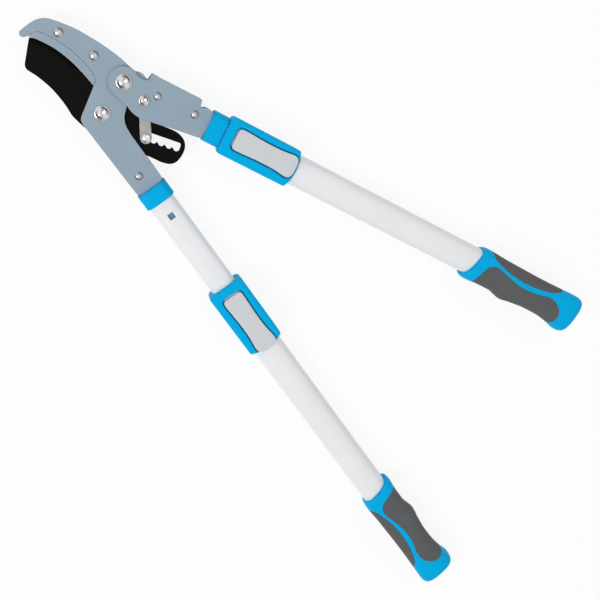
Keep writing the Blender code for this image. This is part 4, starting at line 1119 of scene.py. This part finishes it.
# %% Blade
blade_half = 2.0 * mm
blade_rim = 0.3 * mm
edge_half = 0.12 * mm
grind_at_face, grind_at_rim = 5.0 * mm, 4.17 * mm
blade_bore = 4.3 * mm
blade = solid("blade_fine", loft([
    blade_level(-blade_half, grind_at_face, blade_rim),
    blade_level(-blade_half + blade_rim, grind_at_rim, 0),
    blade_level(-edge_half, 0, 0), blade_level(edge_half, 0, 0),
    blade_level(blade_half - blade_rim, grind_at_rim, 0),
    blade_level(blade_half, grind_at_face, blade_rim)]))
cut(blade, solid("slot_tool", prism(slot_line, -9 * mm, 9 * mm)))
cut(blade, solid("bore_tool", round_bar(blade_bore, 20 * mm, 40,
                                        Matrix.Translation(blade_pivot - main_pivot))))
fit(blade, blade_coating, "blade", ["blade"],
    Matrix.Translation(main_pivot), 28)

# %% [markdown]
# ## Bolts, rivets and nuts
# Round fasteners are turned: a half profile is spun once round.  The socket screws get a
# thin flange under their dome and a hexagonal socket with a small chamfer.  Their centres
# come from the frame's own nodes.

# %% Turned pieces
def spun(profile, steps=48):
    """A half profile, given as radius and height from the top down, spun round z."""
    bm = bmesh.new()
    dots = [bm.verts.new((r, 0, z)) for r, z in profile]
    lines = [bm.edges.new(pair) for pair in zip(dots, dots[1:])]
    bmesh.ops.spin(bm, geom=dots + lines, cent=(0, 0, 0), axis=(0, 0, 1), angle=2 * math.pi,
                   steps=steps, use_merge=True)
    bmesh.ops.remove_doubles(bm, verts=bm.verts[:], dist=1e-6)
    bmesh.ops.recalc_face_normals(bm, faces=bm.faces[:])
    return bm


def dome(radius, height, base, steps=8):
    """The profile of a cap from its top down to its rim."""
    ball = (radius * radius + height * height) / (2 * height)
    wide = math.asin(min(radius / ball, 1.0))
    turns = [wide * k / steps for k in range(steps + 1)]
    return [(ball * math.sin(a), base + height - ball * (1 - math.cos(a))) for a in turns]


def hexagon(flats, z, turn=0.0):
    """A level hexagon, given its size across flats."""
    radius = flats / math.sqrt(3)
    turns = [math.radians(60 * k + turn) for k in range(6)]
    return [Vector((radius * math.cos(a), radius * math.sin(a), z)) for a in turns]


def over_node(node):
    """The place on the main pivot's level, at the middle of a CAD node."""
    low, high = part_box(node)
    return Matrix.Translation(((low.x + high.x) / 2, (low.y + high.y) / 2, main_pivot.z))


# %% Screws, nuts and rivets
def socket_screw(node, body, head, height, flats, depth, shank, seat, nut_height):
    """A flanged, domed screw on the seat, its shank reaching through its nut."""
    radius = head / 2
    base = seat + gap
    end = -seat - gap - nut_height - 1.2 * mm
    profile = dome(radius - 0.9 * mm, height - 1.05 * mm, base + 1.05 * mm)
    profile += [(radius - inwards * mm, base + up * mm) for inwards, up in (
        (0.75, 0.95), (0.25, 0.85), (0.05, 0.65), (0.0, 0.4), (0.0, 0.12), (0.12, 0.0))]
    profile += [(shank / 2, base), (shank / 2, end + 0.6 * mm),
                (shank / 2 - 0.6 * mm, end), (0, end)]
    made = solid(node + "_fine", spun(profile))
    top = base + height
    cut(made, solid("socket", loft([hexagon(0.3 * mm, top - depth - flats * 0.28),
                                    hexagon(flats, top - depth),
                                    hexagon(flats, top + 2 * mm)])))
    wide = flats / math.sqrt(3)
    chamfer = [(0, top + 1 * mm), (wide + 1.1 * mm, top + 1 * mm),
               (wide - 0.25 * mm, top - 0.35 * mm), (0, top - 0.35 * mm)]
    cut(made, solid("chamfer", spun(chamfer, 36)))
    fit(made, nickel, body, [node], over_node(node), 38)


def hex_nut(node, body, flats, height, shank, seat):
    """A nut under the seat, its corners trimmed by a cone on both faces."""
    top = -seat - gap
    low = top - height
    made = solid(node + "_fine", loft([hexagon(flats, low, 30), hexagon(flats, top, 30)]))
    face = flats / 2 - 0.1 * mm
    wide = flats / math.sqrt(3) + 0.05 * mm
    slope = height * 0.16
    cut(made, solid("trim", spun([(0, top), (face, top), (wide, top - slope),
                                  (wide, low + slope), (face, low), (0, low)])),
        "INTERSECT")
    hole = shank / 2 + gap
    cut(made, solid("hole", spun([(0, 0), (hole, 0), (hole, low - 5 * mm),
                                  (0, low - 5 * mm)], 32)))
    fit(made, nickel, body, [node], over_node(node), 28)


def round_pin(node, body, head, height, shank, seat, finish):
    """A rivet or pin with the same domed head at both ends."""
    radius = head / 2
    base = seat + gap
    upper = dome(radius - 0.1 * mm, height - 0.25 * mm, base + 0.25 * mm)
    upper += [(radius, base + 0.15 * mm), (radius, base + 0.05 * mm),
              (radius - 0.05 * mm, base), (shank / 2, base)]
    profile = upper + [(r, -z) for r, z in reversed(upper)]
    fit(solid(node + "_fine", spun(profile, 40)), finish, body, [node],
        over_node(node), 38)


# %% Set the fasteners
# in millimetres: head, its height, socket flats and depth, shank, nut flats and height
bolts = (("pivot", "bolt", "head", power_high, 15.4, 4.0, 6.0, 1.9, 8.0, 13.0, 5.0),
         ("blade", "bolt", "head", head_high, 15.1, 4.0, 6.0, 1.9, 8.0, 13.0, 5.0),
         ("link", "screw", "power_arm", power_high, 10.6, 3.0, 4.4, 1.3, 5.0, 8.0, 3.6))
nuts = []
for name, kind, body, seat, *sizes in bolts:
    head, height, flats, depth, shank, nut_flats, nut_height = (v * mm for v in sizes)
    socket_screw(name + "_" + kind, body, head, height, flats, depth, shank, seat, nut_height)
    nuts.append((name + "_nut", body, nut_flats, nut_height, shank, seat))
for nut in nuts:
    hex_nut(*nut)
for node, body, head, seat in (("anvil_rivet_outer", "head", 9.2, head_high),
                               ("anvil_rivet_inner", "head", 9.2, head_high),
                               ("anvil_arm_rivet", "head", 8.2, head_high),
                               ("power_arm_rivet_inner", "power_arm", 8.2, power_high),
                               ("power_arm_rivet_outer", "power_arm", 8.2, power_high)):
    round_pin(node, body, head * mm, 2.2 * mm, 5.0 * mm, seat, rivet_steel)
round_pin("link_pin", "link", 8.8 * mm, 1.5 * mm, 4.6 * mm, link_high, nickel)

# %% [markdown]
# ## Studio
# A sheet of white card lies under the tool, and plain white light comes from all round,
# as in a catalogue picture.  The card mixes in some plain white for what the camera and
# mirrors see, so that it reads as white without more light on the tool, and it still
# takes a faint shadow.  Polished steel needs something darker to mirror, or else it looks
# like white plastic, so for mirrors alone the room has two dark walls, to either side of
# the tool.

# %% Floor
bpy.ops.mesh.primitive_plane_add(size=8, location=(0, 0, 0))
floor = bpy.context.object
floor.name = "floor_card"
glow_share = 0.88
card = bpy.data.materials.new("white_card")
card.use_nodes = True
tree = card.node_tree
paper = tree.nodes["Principled BSDF"]
set_inputs(tree, paper, {"Base Color": (0.93, 0.93, 0.93, 1), "Roughness": 0.9})
rays = add_node(tree, "LightPath").outputs
seen = add_node(tree, "Math", {0: rays["Is Camera Ray"], 1: rays["Is Glossy Ray"]},
                "MAXIMUM")
share = add_node(tree, "Math", {0: seen.outputs["Value"], 1: glow_share}, "MULTIPLY")
glow = add_node(tree, "Emission")
mixed = add_node(tree, "MixShader", {"Fac": share.outputs["Value"],
                                     1: paper.outputs["BSDF"],
                                     2: glow.outputs["Emission"]})
set_inputs(tree, tree.nodes["Material Output"], {"Surface": mixed.outputs["Shader"]})
floor.data.materials.append(card)
print("floor card laid")

# %% World light
room_light = 0.55
world = bpy.data.worlds.new("studio")
world.use_nodes = True
scene.world = world
tree = world.node_tree
rays = add_node(tree, "LightPath").outputs
towards = add_node(tree, "TexCoord").outputs["Generated"]
across = add_node(tree, "VectorMath", {0: towards, 1: (-0.16, 0.99, 0.0)}, "DOT_PRODUCT")
either_side = add_node(tree, "Math", {0: across.outputs["Value"]}, "ABSOLUTE")
walls = add_node(tree, "MapRange", {"Value": either_side.outputs["Value"],
                                    "From Min": 0.30, "From Max": 0.85,
                                    "To Min": 0.95, "To Max": 0.10})
mirrored = add_node(tree, "MapRange", {"Value": rays["Is Glossy Ray"],
                                       "To Min": room_light,
                                       "To Max": walls.outputs["Result"]})
strength = add_node(tree, "Math", {0: mirrored.outputs["Result"], 1: rays["Is Camera Ray"]},
                    "MAXIMUM")
set_inputs(tree, tree.nodes["Background"], {"Color": (1, 1, 1, 1),
                                            "Strength": strength.outputs["Value"]})
print("room lit")


# %% Lamps
def soft_lamp(name, watts, size, place):
    """A square lamp that faces the tool's middle."""
    data = bpy.data.lights.new(name, "AREA")
    data.energy = watts
    data.size = size
    lamp = bpy.data.objects.new(name, data)
    scene.collection.objects.link(lamp)
    lamp.location = place
    lamp.rotation_euler = (-Vector(place)).to_track_quat("-Z", "Y").to_euler()


soft_lamp("key_lamp", 25.5, 1.2, (-0.5, -1.5, 1.9))
soft_lamp("fill_lamp", 9, 2.0, (-0.2, 1.4, 1.9))
print("lamps hung")

# %% [markdown]
# ## Camera
# The picture was taken from above and a little in front of the jaws.  The camera's axes
# follow from two angles and the directions written out here, which keeps the roll of the
# picture exact.

# %% Camera
lift = math.radians(21.2)
roll = math.radians(37.73)
view_angle = math.radians(36.172)
view_ahead = Vector((0.3613, 0.0146, -0.9323))
eye_place = main_pivot + Vector((-0.0692, 0.0031, 0.9424))
level_x = Vector((0.9992, 0.0405, 0))
level_y = Vector((-0.0405, 0.9992, 0))
tilted = level_x * math.cos(lift) + Vector((0, 0, 1)) * math.sin(lift)
view_right = math.sin(roll) * tilted + math.cos(roll) * level_y
view_down = math.cos(roll) * tilted - math.sin(roll) * level_y
eye = bpy.data.cameras.new("studio_camera")
eye.sensor_width = 36
eye.lens = eye.sensor_width / 2 / math.tan(view_angle / 2)
camera = bpy.data.objects.new("studio_camera", eye)
scene.collection.objects.link(camera)
turn = Matrix((view_right, -view_down, -view_ahead)).transposed().to_4x4()
camera.matrix_world = Matrix.Translation(eye_place) @ turn
scene.camera = camera
scene.view_settings.view_transform = "Standard"
print("camera at", [round(v, 3) for v in camera.location])

# %% Last import
import json
